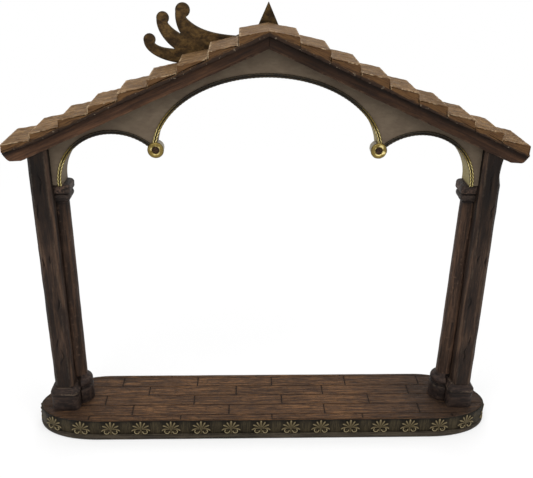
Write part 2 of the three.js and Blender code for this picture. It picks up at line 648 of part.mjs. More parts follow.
// A cushion that swells from the shaft, and a square abacus on it
function capital(side) {
  const abacus = raised(
    roundedSquare(CAPITAL_HALF, CAPITAL_CORNER), CAPITAL_TOP_Z - ABACUS_HEIGHT, ABACUS_HEIGHT, ABACUS_CHAMFER,
  );
  const cushion = raised(
    roundedSquare(CUSHION_HALF, CUSHION_ROUND + EDGE_CHAMFER), CAPITAL_BASE_Z, CUSHION_HEIGHT, CUSHION_ROUND,
    CUSHION_STEPS,
  );
  const neckTop = CAPITAL_TOP_Z - ABACUS_HEIGHT + ABACUS_CHAMFER;
  const neck = raised(
    roundedSquare(CUSHION_HALF - EDGE_CHAMFER - ABACUS_CHAMFER, CAPITAL_CORNER),
    CAPITAL_BASE_Z + CUSHION_HEIGHT / 2, neckTop - CAPITAL_BASE_Z - CUSHION_HEIGHT / 2,
  );
  const whole = joined(abacus, cushion, neck);
  whole.translate(side * COLUMN_X, ROOF_MID_Y, 0);
  return cutBy(whole, postRoom(side), capitalPin(side, HOLE_CLEARANCE));
}

// A point on an arch: turn runs from 0 at its right foot to pi at its left foot
function archPoint(arch, turn, grow = 0) {
  return [
    arch.x + (arch.halfWidth + grow) * Math.cos(turn),
    arch.spring + (arch.rise + grow) * Math.sin(turn),
  ];
}

// Whether a point lies in the opening of the right side arch
function insideSideArch([x, z]) {
  const across = (x - SIDE_ARCH.x) / SIDE_ARCH.halfWidth;
  const up = (z - SIDE_ARCH.spring) / SIDE_ARCH.rise;
  return across ** 2 + up ** 2 < 1;
}

// The turn of the middle arch at its cusp with the side arch, found by halving the stretch around it
function cuspTurn() {
  let low = 0;
  let high = Math.PI / 2;
  for (let i = 0; i < CUSP_HALVINGS; i += 1) {
    const turn = (low + high) / 2;
    if (insideSideArch(archPoint(MIDDLE_ARCH, turn))) low = turn;
    else high = turn;
  }
  return low;
}

const CUSP_TURN = cuspTurn();
const [CUSP_X, CUSP_Z] = archPoint(MIDDLE_ARCH, CUSP_TURN);
const SIDE_CUSP_TURN = Math.acos((CUSP_X - SIDE_ARCH.x) / SIDE_ARCH.halfWidth);
const ROUNDEL_X = CUSP_X + ROUNDEL_SHIFT;
const ROUNDEL_Z = CUSP_Z + ROUNDEL_RISE;
const ROUNDEL_FRONT_Y = VALANCE_FRONT_Y - ROUNDEL_STAND;

// Points along the edge of the three arches, right foot to left foot, grown away from the openings
function archEdge(name, grow) {
  const points = [];
  if (name === 'middle') {
    for (let i = 0; i <= ARCH_STEPS; i += 1) {
      const turn = CUSP_TURN + (i / ARCH_STEPS) * (Math.PI - 2 * CUSP_TURN);
      points.push(archPoint(MIDDLE_ARCH, turn, grow));
    }
    return points;
  }
  points.push([SIDE_ARCH_FOOT_X + grow, CAPITAL_TOP_Z]);
  for (let i = 0; i <= SIDE_ARCH_STEPS; i += 1) {
    points.push(archPoint(SIDE_ARCH, (i / SIDE_ARCH_STEPS) * SIDE_CUSP_TURN, grow));
  }
  return name === 'right' ? points : mirrored(points);
}

function roundelDrum(side, grow = 0) {
  return rodAlongY(
    ROUNDEL_RADIUS + grow, ROUNDEL_FRONT_Y - OVERCUT, ROUNDEL_FRONT_Y + ROUNDEL_DEPTH + grow,
    side * ROUNDEL_X, ROUNDEL_Z, ROUNDEL_STEPS,
  );
}

function valance() {
  const corner = [[VALANCE_OUTER_X, underRoof(VALANCE_OUTER_X)], [VALANCE_OUTER_X, CAPITAL_TOP_Z]];
  const points = [
    ...mirrored(corner), [0, underRoof(0)], ...corner,
    ...archEdge('right', 0), ...archEdge('middle', 0).slice(1, -1), ...archEdge('left', 0),
  ];
  const board = deepened(shapeOf(points), VALANCE_FRONT_Y, VALANCE_DEPTH);
  const cutters = [];
  for (const side of [-1, 1]) {
    cutters.push(postRoom(side), roundelDrum(side, SEAT_GAP), capitalPin(side, HOLE_CLEARANCE));
  }
  return cutBy(board, ...cutters);
}

// A strip on the valance's face between two distances from the edge of an arch
function archStrip(name, from, to, relief) {
  const outline = shapeOf([...archEdge(name, from), ...archEdge(name, to).reverse()]);
  return deepened(outline, VALANCE_FRONT_Y - relief, relief);
}

function archCord(name) {
  const whole = joined(
    archStrip(name, 0, CORD_WIDTH, CORD_FILLET_RELIEF),
    archStrip(name, 0, CORD_BEAD, CORD_BEAD_RELIEF),
    archStrip(name, CORD_WIDTH - CORD_BEAD, CORD_WIDTH, CORD_BEAD_RELIEF),
  );
  return cutBy(whole, roundelDrum(-1, SEAT_GAP), roundelDrum(1, SEAT_GAP));
}

// A short drum with a rolled rim and a blind bore for its plug
function roundel(side) {
  const rim = (ROUNDEL_RADIUS - ROUNDEL_BORE) / 2;
  const profile = [[0, ROUNDEL_DEPTH], [ROUNDEL_RADIUS, ROUNDEL_DEPTH]];
  for (let i = 0; i <= RIM_STEPS; i += 1) {
    const turn = (i / RIM_STEPS) * Math.PI;
    profile.push([ROUNDEL_BORE + rim + rim * Math.cos(turn), rim * (1 - Math.sin(turn))]);
  }
  profile.push([ROUNDEL_BORE, ROUNDEL_BORE_DEPTH], [0, ROUNDEL_BORE_DEPTH]);
  const geometry = turned(profile.reverse(), ROUNDEL_STEPS);
  geometry.translate(side * ROUNDEL_X, ROUNDEL_FRONT_Y, ROUNDEL_Z);
  return geometry;
}

function roundelPlug(side) {
  const back = ROUNDEL_FRONT_Y + ROUNDEL_BORE_DEPTH;
  const radius = ROUNDEL_BORE - SEAT_GAP;
  return rodAlongY(radius, back - ROUNDEL_PLUG_THICKNESS, back, side * ROUNDEL_X, ROUNDEL_Z, ROUNDEL_STEPS);
}

// Outline of one half of the gable timber: a sloping strip with its lower corner at the eave rounded
function rakeOutline(side) {
  const outer = EAVE_HALF_SPAN - EAVE_SETBACK;
  const top = (x) => roofLine(x) - SLAB_TOP_DROP;
  const foot = (x) => roofLine(x) - SLAB_FOOT_DROP;
  const slope = Math.atan(ROOF_SLOPE);
  const start = 1.5 * Math.PI - slope; // where the rounding leaves the sloping underside
  const tangent = EAVE_ROUND * Math.tan((Math.PI / 2 + slope) / 2);
  const centre = [outer - EAVE_ROUND, foot(outer) + tangent];
  const points = [[MITRE_GAP / 2, top(0)], [MITRE_GAP / 2, foot(0)]];
  for (let i = 0; i <= EAVE_ROUND_STEPS; i += 1) {
    const turn = start + (i / EAVE_ROUND_STEPS) * (2 * Math.PI - start);
    points.push([centre[0] + EAVE_ROUND * Math.cos(turn), centre[1] + EAVE_ROUND * Math.sin(turn)]);
  }
  points.push([outer, top(outer)]);
  return shapeOf(points.map(([x, z]) => [side * x, z]));
}

function bargeBoard(side) {
  return deepened(rakeOutline(side), BARGE_FRONT_Y, BARGE_THICKNESS, BARGE_CHAMFER);
}

function cometPinPlace(index) {
  const x = COMET_PIN_XS[index];
  return [x, roofLine(x) - (SLAB_TOP_DROP + SLAB_FOOT_DROP) / 2];
}

function cometPinHole(index) {
  const [x, z] = cometPinPlace(index);
  const front = ROOF_BACK_Y - COMET_PIN_GRIP - HOLE_CLEARANCE;
  return rodAlongY(COMET_PIN_RADIUS + HOLE_CLEARANCE, front, COMET_BACK_Y + OVERCUT, x, z);
}

function roofSlab(side) {
  const board = deepened(rakeOutline(side), SLAB_FRONT_Y, ROOF_BACK_Y - SLAB_FRONT_Y);
  const cutters = [postPin(side, HOLE_CLEARANCE)];
  COMET_PIN_XS.forEach((x, index) => {
    if (x * side > 0) cutters.push(cometPinHole(index));
  });
  return cutBy(board, ...cutters);
}

// One course of shingles, a wedge with its thick butt towards the eave
function shingleCourse(side, index) {
  const outer = EAVE_HALF_SPAN - index * COURSE_PITCH;
  const inner = outer - COURSE_PITCH + SEAT_GAP;
  const topInner = roofLine(outer - COURSE_PITCH) - COURSE_RISER;
  const rise = (topInner - roofLine(outer)) / (outer - inner);
  const points = [
    [outer, roofLine(outer) - BUTT_THICKNESS], [outer, roofLine(outer) - BUTT_WEAR],
    [outer - BUTT_WEAR, roofLine(outer) + BUTT_WEAR * rise], [inner, topInner],
    [inner, roofLine(inner) - BUTT_THICKNESS],
  ];
  const outline = shapeOf(points.map(([x, z]) => [side * x, z]));
  return deepened(outline, ROOF_FRONT_Y, ROOF_DEPTH, SHINGLE_CHAMFER);
}

function ridgeCap() {
  const rise = (RIDGE_Z - roofLine(RIDGE_CAP_HALF)) / RIDGE_CAP_HALF;
  const half = [
    [RIDGE_CAP_HALF, roofLine(RIDGE_CAP_HALF) - BUTT_THICKNESS],
    [RIDGE_CAP_HALF, roofLine(RIDGE_CAP_HALF) - BUTT_WEAR],
    [RIDGE_CAP_HALF - BUTT_WEAR, roofLine(RIDGE_CAP_HALF) + BUTT_WEAR * rise],
  ];
  const foot = [0, RIDGE_Z - RIDGE_CREST_THICKNESS];
  const outline = shapeOf([...half, [0, RIDGE_Z], ...mirrored(half), foot]);
  return deepened(outline, ROOF_FRONT_Y, ROOF_DEPTH, SHINGLE_CHAMFER);
}

function starOutline() {
  const points = [];
  for (let i = 0; i < 2 * STAR_POINTS; i += 1) {
    const turn = (i / STAR_POINTS + 0.5) * Math.PI;
    const reach = i % 2 === 0 ? STAR_REACH : STAR_WAIST;
    points.push([reach * Math.cos(turn), STAR_Z + reach * Math.sin(turn)]);
  }
  return shapeOf(points);
}

function tailOutline() {
  const shape = new THREE.Shape();
  const root = -STAR_WAIST / 2;
  const place = ([x, y]) => [x * TAIL_GRID_WIDTH, STAR_Z + y * TAIL_GRID_WIDTH];
  const curveTo = (guides, end) => shape.bezierCurveTo(...place(guides[0]), ...place(guides[1]), ...end);
  shape.moveTo(root, STAR_Z + TAIL_TOP);
  let approach = TAIL_TOP_CURVE;
  for (const plume of PLUMES) {
    const [x, z] = place(plume.knob);
    const radius = plume.radius * TAIL_GRID_WIDTH;
    const start = plume.from * DEGREE;
    curveTo(approach, [x + radius * Math.cos(start), z + radius * Math.sin(start)]);
    shape.absarc(x, z, radius, start, plume.to * DEGREE, false);
    curveTo(plume.outer, place(plume.notch));
    approach = plume.inner;
  }
  curveTo(approach, [root, STAR_Z + TAIL_FOOT]);
  return new THREE.Shape(shape.getPoints(PLUME_STEPS));
}

function cometStar() {
  const star = deepened(starOutline(), COMET_FRONT_Y, COMET_THICKNESS, COMET_CHAMFER);
  const tail = deepened(tailOutline(), COMET_FRONT_Y, COMET_THICKNESS, COMET_CHAMFER);
  return cutBy(joined(star, tail), ...COMET_PIN_XS.map((x, index) => cometPinHole(index)));
}

function cometPin(index) {
  const [x, z] = cometPinPlace(index);
  const length = COMET_BACK_Y - ROOF_BACK_Y + COMET_PIN_GRIP;
  const profile = [
    [0, -length], [COMET_PIN_RADIUS, -length], [COMET_PIN_RADIUS, 0], [COMET_PIN_HEAD, 0],
    [COMET_PIN_HEAD - COMET_PIN_HEAD_ROUND, COMET_PIN_HEAD_HEIGHT - COMET_PIN_HEAD_ROUND],
    [0, COMET_PIN_HEAD_HEIGHT],
  ];
  const geometry = turned(profile, PIN_STEPS);
  geometry.translate(x, COMET_BACK_Y, z);
  return geometry;
}

// Assembly
function piece(group, name, geometry, finish) {
  const mesh = new THREE.Mesh(geometry, finish);
  mesh.name = name;
  group.add(mesh);
}

function buildBase(group) {
  piece(group, 'base_body', baseBody(), FINISH.base);
  piece(group, 'palmette_frieze', palmetteFrieze(), FINISH.frieze);
  piece(group, 'plank_deck', plankDeck(), FINISH.deck);
  for (const [name, [x, y]] of Object.entries(padPlaces())) {
    piece(group, name, rod(PAD_RADIUS, 0, PAD_THICKNESS, x, y, ROUND_STEPS), FINISH.felt);
  }
  for (const [name, [x, y]] of Object.entries(screwPlaces())) {
    piece(group, name, baseScrew(x, y), FINISH.steel);
  }
}

function buildPier(group, name, side) {
  piece(group, `plinth_${name}`, plinth(side), FINISH.post);
  piece(group, `post_${name}`, post(side), FINISH.post);
  piece(group, `post_pin_${name}`, postPin(side), FINISH.steel);
  piece(group, `column_base_${name}`, columnBase(side), FINISH.column);
  piece(group, `column_shaft_${name}`, columnShaft(side), FINISH.column);
  piece(group, `capital_${name}`, capital(side), FINISH.column);
  piece(group, `capital_pin_${name}`, capitalPin(side), FINISH.steel);
}

function buildGable(group) {
  piece(group, 'valance', valance(), FINISH.valance);
  for (const name of ['left', 'middle', 'right']) {
    piece(group, `arch_cord_${name}`, archCord(name), FINISH.gilt);
  }
  for (const [name, side] of [['left', -1], ['right', 1]]) {
    piece(group, `roundel_${name}`, roundel(side), FINISH.gilt);
    piece(group, `roundel_plug_${name}`, roundelPlug(side), FINISH.plug);
  }
}

function buildRoof(group) {
  for (const [name, side] of [['left', -1], ['right', 1]]) {
    piece(group, `roof_slab_${name}`, roofSlab(side), FINISH.slab);
    piece(group, `barge_board_${name}`, bargeBoard(side), FINISH.barge);
    for (let index = 0; index < COURSE_COUNT; index += 1) {
      piece(group, `shingle_${name}_${index + 1}`, shingleCourse(side, index), FINISH.shingle);
    }
  }
  piece(group, 'ridge_cap', ridgeCap(), FINISH.shingle);
}

function buildComet(group) {
  piece(group, 'comet_star', cometStar(), FINISH.comet);
  piece(group, 'comet_pin_inner', cometPin(0), FINISH.steel);
  piece(group, 'comet_pin_outer', cometPin(1), FINISH.steel);
}

const stable = new THREE.Group();
const sections = {
  base: buildBase,
  left_pier: (group) => buildPier(group, 'left', -1),
  right_pier: (group) => buildPier(group, 'right', 1),
  gable: buildGable,
  roof: buildRoof,
  comet: buildComet,
};
for (const [name, build] of Object.entries(sections)) {
  const group = new THREE.Group();
  group.name = name;
  build(group);
  stable.add(group);
}

export default stable;
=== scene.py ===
import logging
import math
from dataclasses import dataclass, field, replace
from enum import Enum
from functools import cache
from typing import Callable, Optional

import bpy
import numpy as np
from mathutils import Matrix, Vector


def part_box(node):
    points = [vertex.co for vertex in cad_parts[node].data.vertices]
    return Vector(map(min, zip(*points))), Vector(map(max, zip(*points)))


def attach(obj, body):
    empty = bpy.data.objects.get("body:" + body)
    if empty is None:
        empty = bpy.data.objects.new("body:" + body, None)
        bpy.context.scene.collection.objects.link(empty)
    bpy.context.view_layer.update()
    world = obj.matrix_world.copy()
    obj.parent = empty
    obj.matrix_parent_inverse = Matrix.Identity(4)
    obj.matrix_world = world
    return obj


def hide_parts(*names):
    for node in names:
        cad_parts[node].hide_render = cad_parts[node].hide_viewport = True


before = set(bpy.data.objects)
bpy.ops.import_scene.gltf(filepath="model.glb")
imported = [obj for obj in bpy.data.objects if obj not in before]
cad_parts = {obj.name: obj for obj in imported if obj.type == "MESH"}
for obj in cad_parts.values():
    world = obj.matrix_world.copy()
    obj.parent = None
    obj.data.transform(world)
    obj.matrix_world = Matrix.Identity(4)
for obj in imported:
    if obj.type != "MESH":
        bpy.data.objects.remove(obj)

# The looks of the nativity stable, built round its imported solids. Lengths are millimetres until they enter
# a mesh or a node, colours are sRGB out of 255, +Z is up and -Y is the front.
LOG = logging.getLogger("stable")
MM = 0.001
BODY = "root"
WAVES = 8
SHARP_EDGE = math.radians(38)
SIDES = {"left": -1, "right": 1}
Colour = tuple[int, int, int]
Pair = tuple[float, float]
Number = float | np.ndarray
Masks = dict[str, Number]
Socket = bpy.types.NodeSocket


def unevenness(seed: int, size: float, *places: Number) -> np.ndarray:
    """Soft unevenness of a hand-made surface, about -1 to 1.

    The sum of eight sine waves. Each has its own direction and phase, and a length of 0.6 to 1.8 times size.

    Args:
        seed: picks the waves.
        size: usual length of a wave.
        places: the coordinates, as arrays that fit together.

    Returns:
        The unevenness at each place.
    """
    dice = np.random.default_rng(seed)
    total = np.zeros(np.broadcast_shapes(*(np.shape(place) for place in places)))
    for _ in range(WAVES):
        heading = dice.normal(size=len(places))
        heading = heading / np.linalg.norm(heading) / (size * dice.uniform(0.6, 1.8))
        phase = dice.random()
        total = total + np.sin(2 * np.pi * (sum(h * place for h, place in zip(heading, places)) + phase))
    return total / (WAVES / 2)


def carved_grain(seed: int, pitch: float, along: np.ndarray, across: np.ndarray) -> np.ndarray:
    """Depth of carved wood grain, 0 to 1.

    Cuts lie one pitch apart: 1 - |sin(pi * across / pitch)|, cubed, with across pushed aside by an unevenness
    that is long along the grain. The cuts fade in and out along the grain.

    Args:
        seed: picks the drift and the fading.
        pitch: distance between cuts.
        along: place along the grain.
        across: place across the grain.

    Returns:
        The depth at each place.
    """
    drift = pitch * unevenness(seed, 16 * pitch, along, across)
    fade = np.clip(0.6 + 0.7 * unevenness(seed + 1, 10 * pitch, along, 3 * across), 0.1, 1)
    return (1 - np.abs(np.sin(np.pi * (across + drift) / pitch))) ** 3 * fade


def bell(places: np.ndarray, middle: Number, width: Number) -> np.ndarray:
    """A soft bump that is 1 in the middle: exp(-((place - middle) / width)^2)."""
    return np.exp(-((places - middle) / width) ** 2)


def dome(places: np.ndarray) -> np.ndarray:
    """Height of a half circle of radius 1 over places from its middle, and 0 outside it."""
    return np.sqrt(np.clip(1 - places ** 2, 0, 1))


def unit(rows: np.ndarray) -> np.ndarray:
    """The rows as vectors of length 1."""
    return rows / np.linalg.norm(rows, axis=1, keepdims=True)


def ringed(points: np.ndarray) -> np.ndarray:
    """A closed outline with its first point once more at the end."""
    return np.vstack([points, points[:1]])


def running(line: np.ndarray) -> np.ndarray:
    """Length of the way along a line at each of its points."""
    return np.concatenate([[0], np.cumsum(np.linalg.norm(np.diff(line, axis=0), axis=1))])


def at_lengths(line: np.ndarray, stops: np.ndarray) -> np.ndarray:
    """Points on a line at the given lengths of the way along it."""
    way = running(line)
    return np.stack([np.interp(stops, way, places) for places in line.T], axis=1)


def evenly(points: np.ndarray, step: float, closed: bool = False) -> np.ndarray:
    """Points set evenly along a line by its length, close to one step apart, ends kept.

    Args:
        points: the line, one row for each point.
        step: wanted distance.
        closed: whether the line returns to its first point.

    Returns:
        The new line. A closed one doesn't repeat its first point.
    """
    line = ringed(points) if closed else points
    length = running(line)[-1]
    stops = np.linspace(0, length, max(int(round(length / step)), 3) + 1)
    return at_lengths(line, stops[:-1] if closed else stops)


def cornered(points: np.ndarray, step: float) -> np.ndarray:
    """A closed outline with points added along its sides, at most a step apart, its corners kept."""
    line = ringed(points)
    way = running(line)
    stops = np.union1d(way, np.linspace(0, way[-1], int(way[-1] / step) + 2))
    stops = stops[np.concatenate([[True], np.diff(stops) > step / 10])][:-1]
    return at_lengths(line, stops)


def softened(points: np.ndarray, rounds: int) -> np.ndarray:
    """Values round a closed outline, each moved towards its neighbours once for each round."""
    for _ in range(rounds):
        points = (np.roll(points, 1, axis=0) + 2 * points + np.roll(points, -1, axis=0)) / 4
    return points


def turned_out(outline: np.ndarray) -> np.ndarray:
    """The outline in the order that keeps its inside on the left, by the sign of its area."""
    ahead = np.roll(outline, -1, axis=0)
    area = np.sum(outline[:, 0] * ahead[:, 1] - ahead[:, 0] * outline[:, 1])
    return outline if area > 0 else outline[::-1]


def outward(outline: np.ndarray) -> np.ndarray:
    """Directions out of a closed outline at its points, as long as a unit offset of both sides asks for.

    The sum of the normals of the two sides that meet there, divided by one plus their product.
    """
    side = np.roll(outline, -1, axis=0) - outline
    normal = unit(np.stack([side[:, 1], -side[:, 0]], axis=1))
    before = np.roll(normal, 1, axis=0)
    product = np.sum(normal * before, axis=1, keepdims=True)
    return (normal + before) / np.maximum(1 + product, 0.12)


def cornerness(outline: np.ndarray, rounds: int = 3) -> np.ndarray:
    """How close each point of an outline is to an outer corner, 0 to 1, from the turn round it."""
    side = unit(np.roll(outline, -1, axis=0) - outline)
    before = np.roll(side, 1, axis=0)
    turn = np.clip(before[:, 0] * side[:, 1] - before[:, 1] * side[:, 0], 0, 1)
    return np.clip(softened(turn, rounds) * 5, 0, 1)


@dataclass
class Skin:
    """The closed surface of a piece: its points in millimetres, its faces, and masks that its paint reads.

    Masks are numbers from 0 to 1 for each point: edge is rubbed edges, wash is dark wash in recesses and
    painted shade under overhangs and between parts, tone is the shade of one plank or shingle and also painted
    light and shade on the posts and columns, gold is gilding, raised or lowered as painted light on the cords,
    roundels and soffits, rim is the margin of a plate, face its front and back.
    """

    points: np.ndarray
    quads: np.ndarray
    caps: list[np.ndarray] = field(default_factory=list)
    masks: Masks = field(default_factory=dict)

    @classmethod
    def carried(cls, rings: np.ndarray, masks: Masks, looped: bool = False) -> "Skin":
        """A surface through rings of points, each joined to the next, with both ends closed.

        Args:
            rings: stations by points round by three.
            masks: values that fit stations by points round.
            looped: whether the last ring joins the first.

        Returns:
            The skin, faces outwards.
        """
        index = np.arange(rings.shape[0] * rings.shape[1]).reshape(rings.shape[:2])
        here, ahead = (index, np.roll(index, -1, axis=0)) if looped else (index[:-1], index[1:])
        quads = np.stack([here, np.roll(here, -1, axis=1), np.roll(ahead, -1, axis=1), ahead], axis=-1)
        caps = [] if looped else [index[0][::-1], index[-1]]
        spread = {name: np.broadcast_to(mask, rings.shape[:2]).ravel() for name, mask in masks.items()}
        return cls(rings.reshape(-1, 3), quads.reshape(-1, 4), caps, spread).faced_out()

    def volume(self) -> float:
        """The signed volume inside the skin: the sum of tetrahedra from the origin to each triangle."""
        corners = [self.points[self.quads[:, [0, 1, 2]]], self.points[self.quads[:, [0, 2, 3]]]]
        for cap in self.caps:
            first = np.broadcast_to(self.points[cap[0]], (len(cap) - 2, 3))
            corners.append(np.stack([first, self.points[cap[1:-1]], self.points[cap[2:]]], axis=1))
        a, b, c = np.moveaxis(np.concatenate(corners), 1, 0)
        return float(np.sum(a * np.cross(b, c)) / 6)

    def faced_out(self) -> "Skin":
        """The same skin with every face turned outwards."""
        if self.volume() < 0:
            self.quads = self.quads[:, ::-1]
            self.caps = [cap[::-1] for cap in self.caps]
        return self

    @classmethod
    def joined(cls, skins: list["Skin"]) -> "Skin":
        """One skin from several, side by side in the same mesh. A mask that one of them lacks is 0 there."""
        starts = np.cumsum([0] + [len(skin.points) for skin in skins[:-1]])
        names = sorted({name for skin in skins for name in skin.masks})
        return cls(
            np.concatenate([skin.points for skin in skins]),
            np.concatenate([skin.quads + start for skin, start in zip(skins, starts)]),
            [cap + start for skin, start in zip(skins, starts) for cap in skin.caps],
            {name: np.concatenate([skin.masks.get(name, np.zeros(len(skin.points))) for skin in skins])
             for name in names},
        )

    def put(self, name: str, finish: "Finish", *nodes: str) -> None:
        """Makes the piece, dresses it and lets it stand for its solids.

        Args:
            name: of the piece.
            finish: what it is painted with.
            nodes: the solids that it replaces.
        """
        mesh = bpy.data.meshes.new(name)
        faces = self.quads.tolist() + [cap.tolist() for cap in self.caps]
        mesh.from_pydata((self.points * MM).tolist(), [], faces)
        for mask, values in self.masks.items():
            mesh.attributes.new(mask, "FLOAT", "POINT").data.foreach_set("value", values.astype(np.float32))
        mesh.shade_smooth()
        mesh.set_sharp_from_angle(angle=SHARP_EDGE)
        mesh.materials.append(painted(finish))
        piece = bpy.data.objects.new(name, mesh)
        bpy.context.scene.collection.objects.link(piece)
        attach(piece, BODY)
        if nodes:
            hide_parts(*nodes)
        LOG.info("%s: %d faces", name, len(faces))


@dataclass(frozen=True)
class Box:
    """The lowest and highest corners of a solid, in millimetres."""

    low: np.ndarray
    high: np.ndarray

    @classmethod
    def of(cls, node: str) -> "Box":
        """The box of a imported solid."""
        low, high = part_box(node)
        return cls(np.array(low) / MM, np.array(high) / MM)

    @property
    def middle(self) -> np.ndarray:
        """The point in the middle."""
        return (self.low + self.high) / 2

    @property
    def half(self) -> np.ndarray:
        """Half the size along each axis."""
        return (self.high - self.low) / 2


@dataclass(frozen=True)
class Section:
    """A rectangle with rounded corners, as points that go round it once from its lower right corner."""

    per_side: int = 6
    per_corner: int = 4
    edge_reach: float = 1.1

    def ring(self, half_a: Number, half_b: Number, radii: tuple[float, ...]) -> tuple[np.ndarray, ...]:
        """The section's points for each station.

        A corner is a quarter circle of its own radius inside the rectangle, and a side joins two corners.

        Args:
            half_a: half the size to the right, for each station.
            half_b: half the size upwards, for each station.
            radii: of the corners, from the lower right one anticlockwise.

        Returns:
            The places a and b, the normals in a and b, and how close to a corner each point is.
        """
        half_a, half_b = np.atleast_1d(half_a)[:, None], np.atleast_1d(half_b)[:, None]
        share = (1 - np.cos(np.pi * np.arange(1, self.per_side + 1) / (self.per_side + 1))) / 2
        signs, angles, radius, sides = [], [], [], []
        corners = [(1, -1), (1, 1), (-1, 1), (-1, -1)]
        for k, here in enumerate(corners):
            ahead = np.array(corners[(k + 1) % 4])
            signs += [np.tile(here, (self.per_corner, 1)), here + share[:, None] * (ahead - here)]
            angles += [np.linspace(-90 + 90 * k, 90 * k, self.per_corner), np.full(self.per_side, 90.0 * k)]
            radius += [np.full(self.per_corner, radii[k]), radii[k] + share * (radii[(k + 1) % 4] - radii[k])]
            sides += [np.zeros(self.per_corner), np.minimum(share, 1 - share)]
        sign, angle = np.concatenate(signs), np.radians(np.concatenate(angles))
        size, to_corner = np.concatenate(radius), np.concatenate(sides)
        cos, sin = np.cos(angle), np.sin(angle)
        a = sign[:, 0] * (half_a - size) + size * cos
        b = sign[:, 1] * (half_b - size) + size * sin
        length = 2 * (np.abs(sin) * half_a + np.abs(cos) * half_b)
        edge = np.exp(-to_corner * length / self.edge_reach)
        return a, b, np.broadcast_to(cos, a.shape), np.broadcast_to(sin, a.shape), edge


@dataclass(frozen=True)
class Board:
    """An outline in X and Z made thick from front to back, with rounded rims."""

    front: float
    back: float
    bevel: float
    inset: float
    spacing: float
    bevel_steps: int = 4
    shrink: float = 0.0
    foot_wear: float = 1.0
    edge_reach: float = 1.2

    def skin(self, outline: np.ndarray, relief: Optional[Callable[..., np.ndarray]] = None, tone: float = 0.5,
             marks: Optional[Callable[[np.ndarray, np.ndarray], Masks]] = None) -> Skin:
        """The board's surface.

        Rings of the outline from front to back: drawn in by inset and bevel, then out along a quarter circle
        to the full outline, straight on to the back, and in again. With a shrink they are drawn in towards
        the outline's mean by that share instead, which suits sharp tips.

        Args:
            outline: the closed outline.
            relief: distance outwards for x, y, z and the outward direction's two parts.
            tone: the shade of the piece, 0 to 1: its own tone, and painted light on some pieces.
            marks: masks along the board's side, from the outline and its outward directions.

        Returns:
            The skin, with its edge, rim, face and tone masks.
        """
        outline = turned_out(outline)
        out = outward(outline)
        if self.shrink:
            out = (outline - outline.mean(axis=0)) * self.shrink / (self.inset + self.bevel)
        turn = np.linspace(0, np.pi / 2, self.bevel_steps + 1)
        sink, drop = self.bevel * (1 - np.sin(turn)), self.bevel * (1 - np.cos(turn))
        length = self.back - self.front - 2 * self.bevel
        middle = np.linspace(0, length, max(int(length / self.spacing), 1) + 1)[1:-1]
        y = np.concatenate([[self.front], self.front + drop, self.front + self.bevel + middle,
                            self.back - drop[::-1], [self.back]])[:, None]
        flat = np.zeros(len(middle))
        sunk = np.concatenate([[self.inset + self.bevel], sink, flat, sink[::-1], [self.inset + self.bevel]])
        x = outline[:, 0] - sunk[:, None] * out[:, 0]
        z = outline[:, 1] - sunk[:, None] * out[:, 1]
        y = y + 0 * x
        inner = np.ones_like(x)
        inner[[0, -1]] = 0
        depth = np.minimum(y - self.front, self.back - y)
        edge = np.maximum(np.exp(-depth / self.edge_reach), cornerness(outline)) * inner
        edge = edge * np.where(out[:, 1] < -0.3, self.foot_wear, 1)
        face = np.concatenate([[1.0], np.cos(turn), flat, np.cos(turn)[::-1], [1.0]])[:, None] + 0 * x
        masks = {"edge": edge, "rim": inner, "face": face, "tone": tone}
        for name, mark in (marks(outline, out) if marks else {}).items():
            masks[name] = mark * (1 - face)
        if relief is not None:
            push = relief(x, y, z, out[:, 0] + 0 * x, out[:, 1] + 0 * x) * inner
            x, z = x + push * out[:, 0], z + push * out[:, 1]
        return Skin.carried(np.stack([x, y, z], axis=-1), masks)


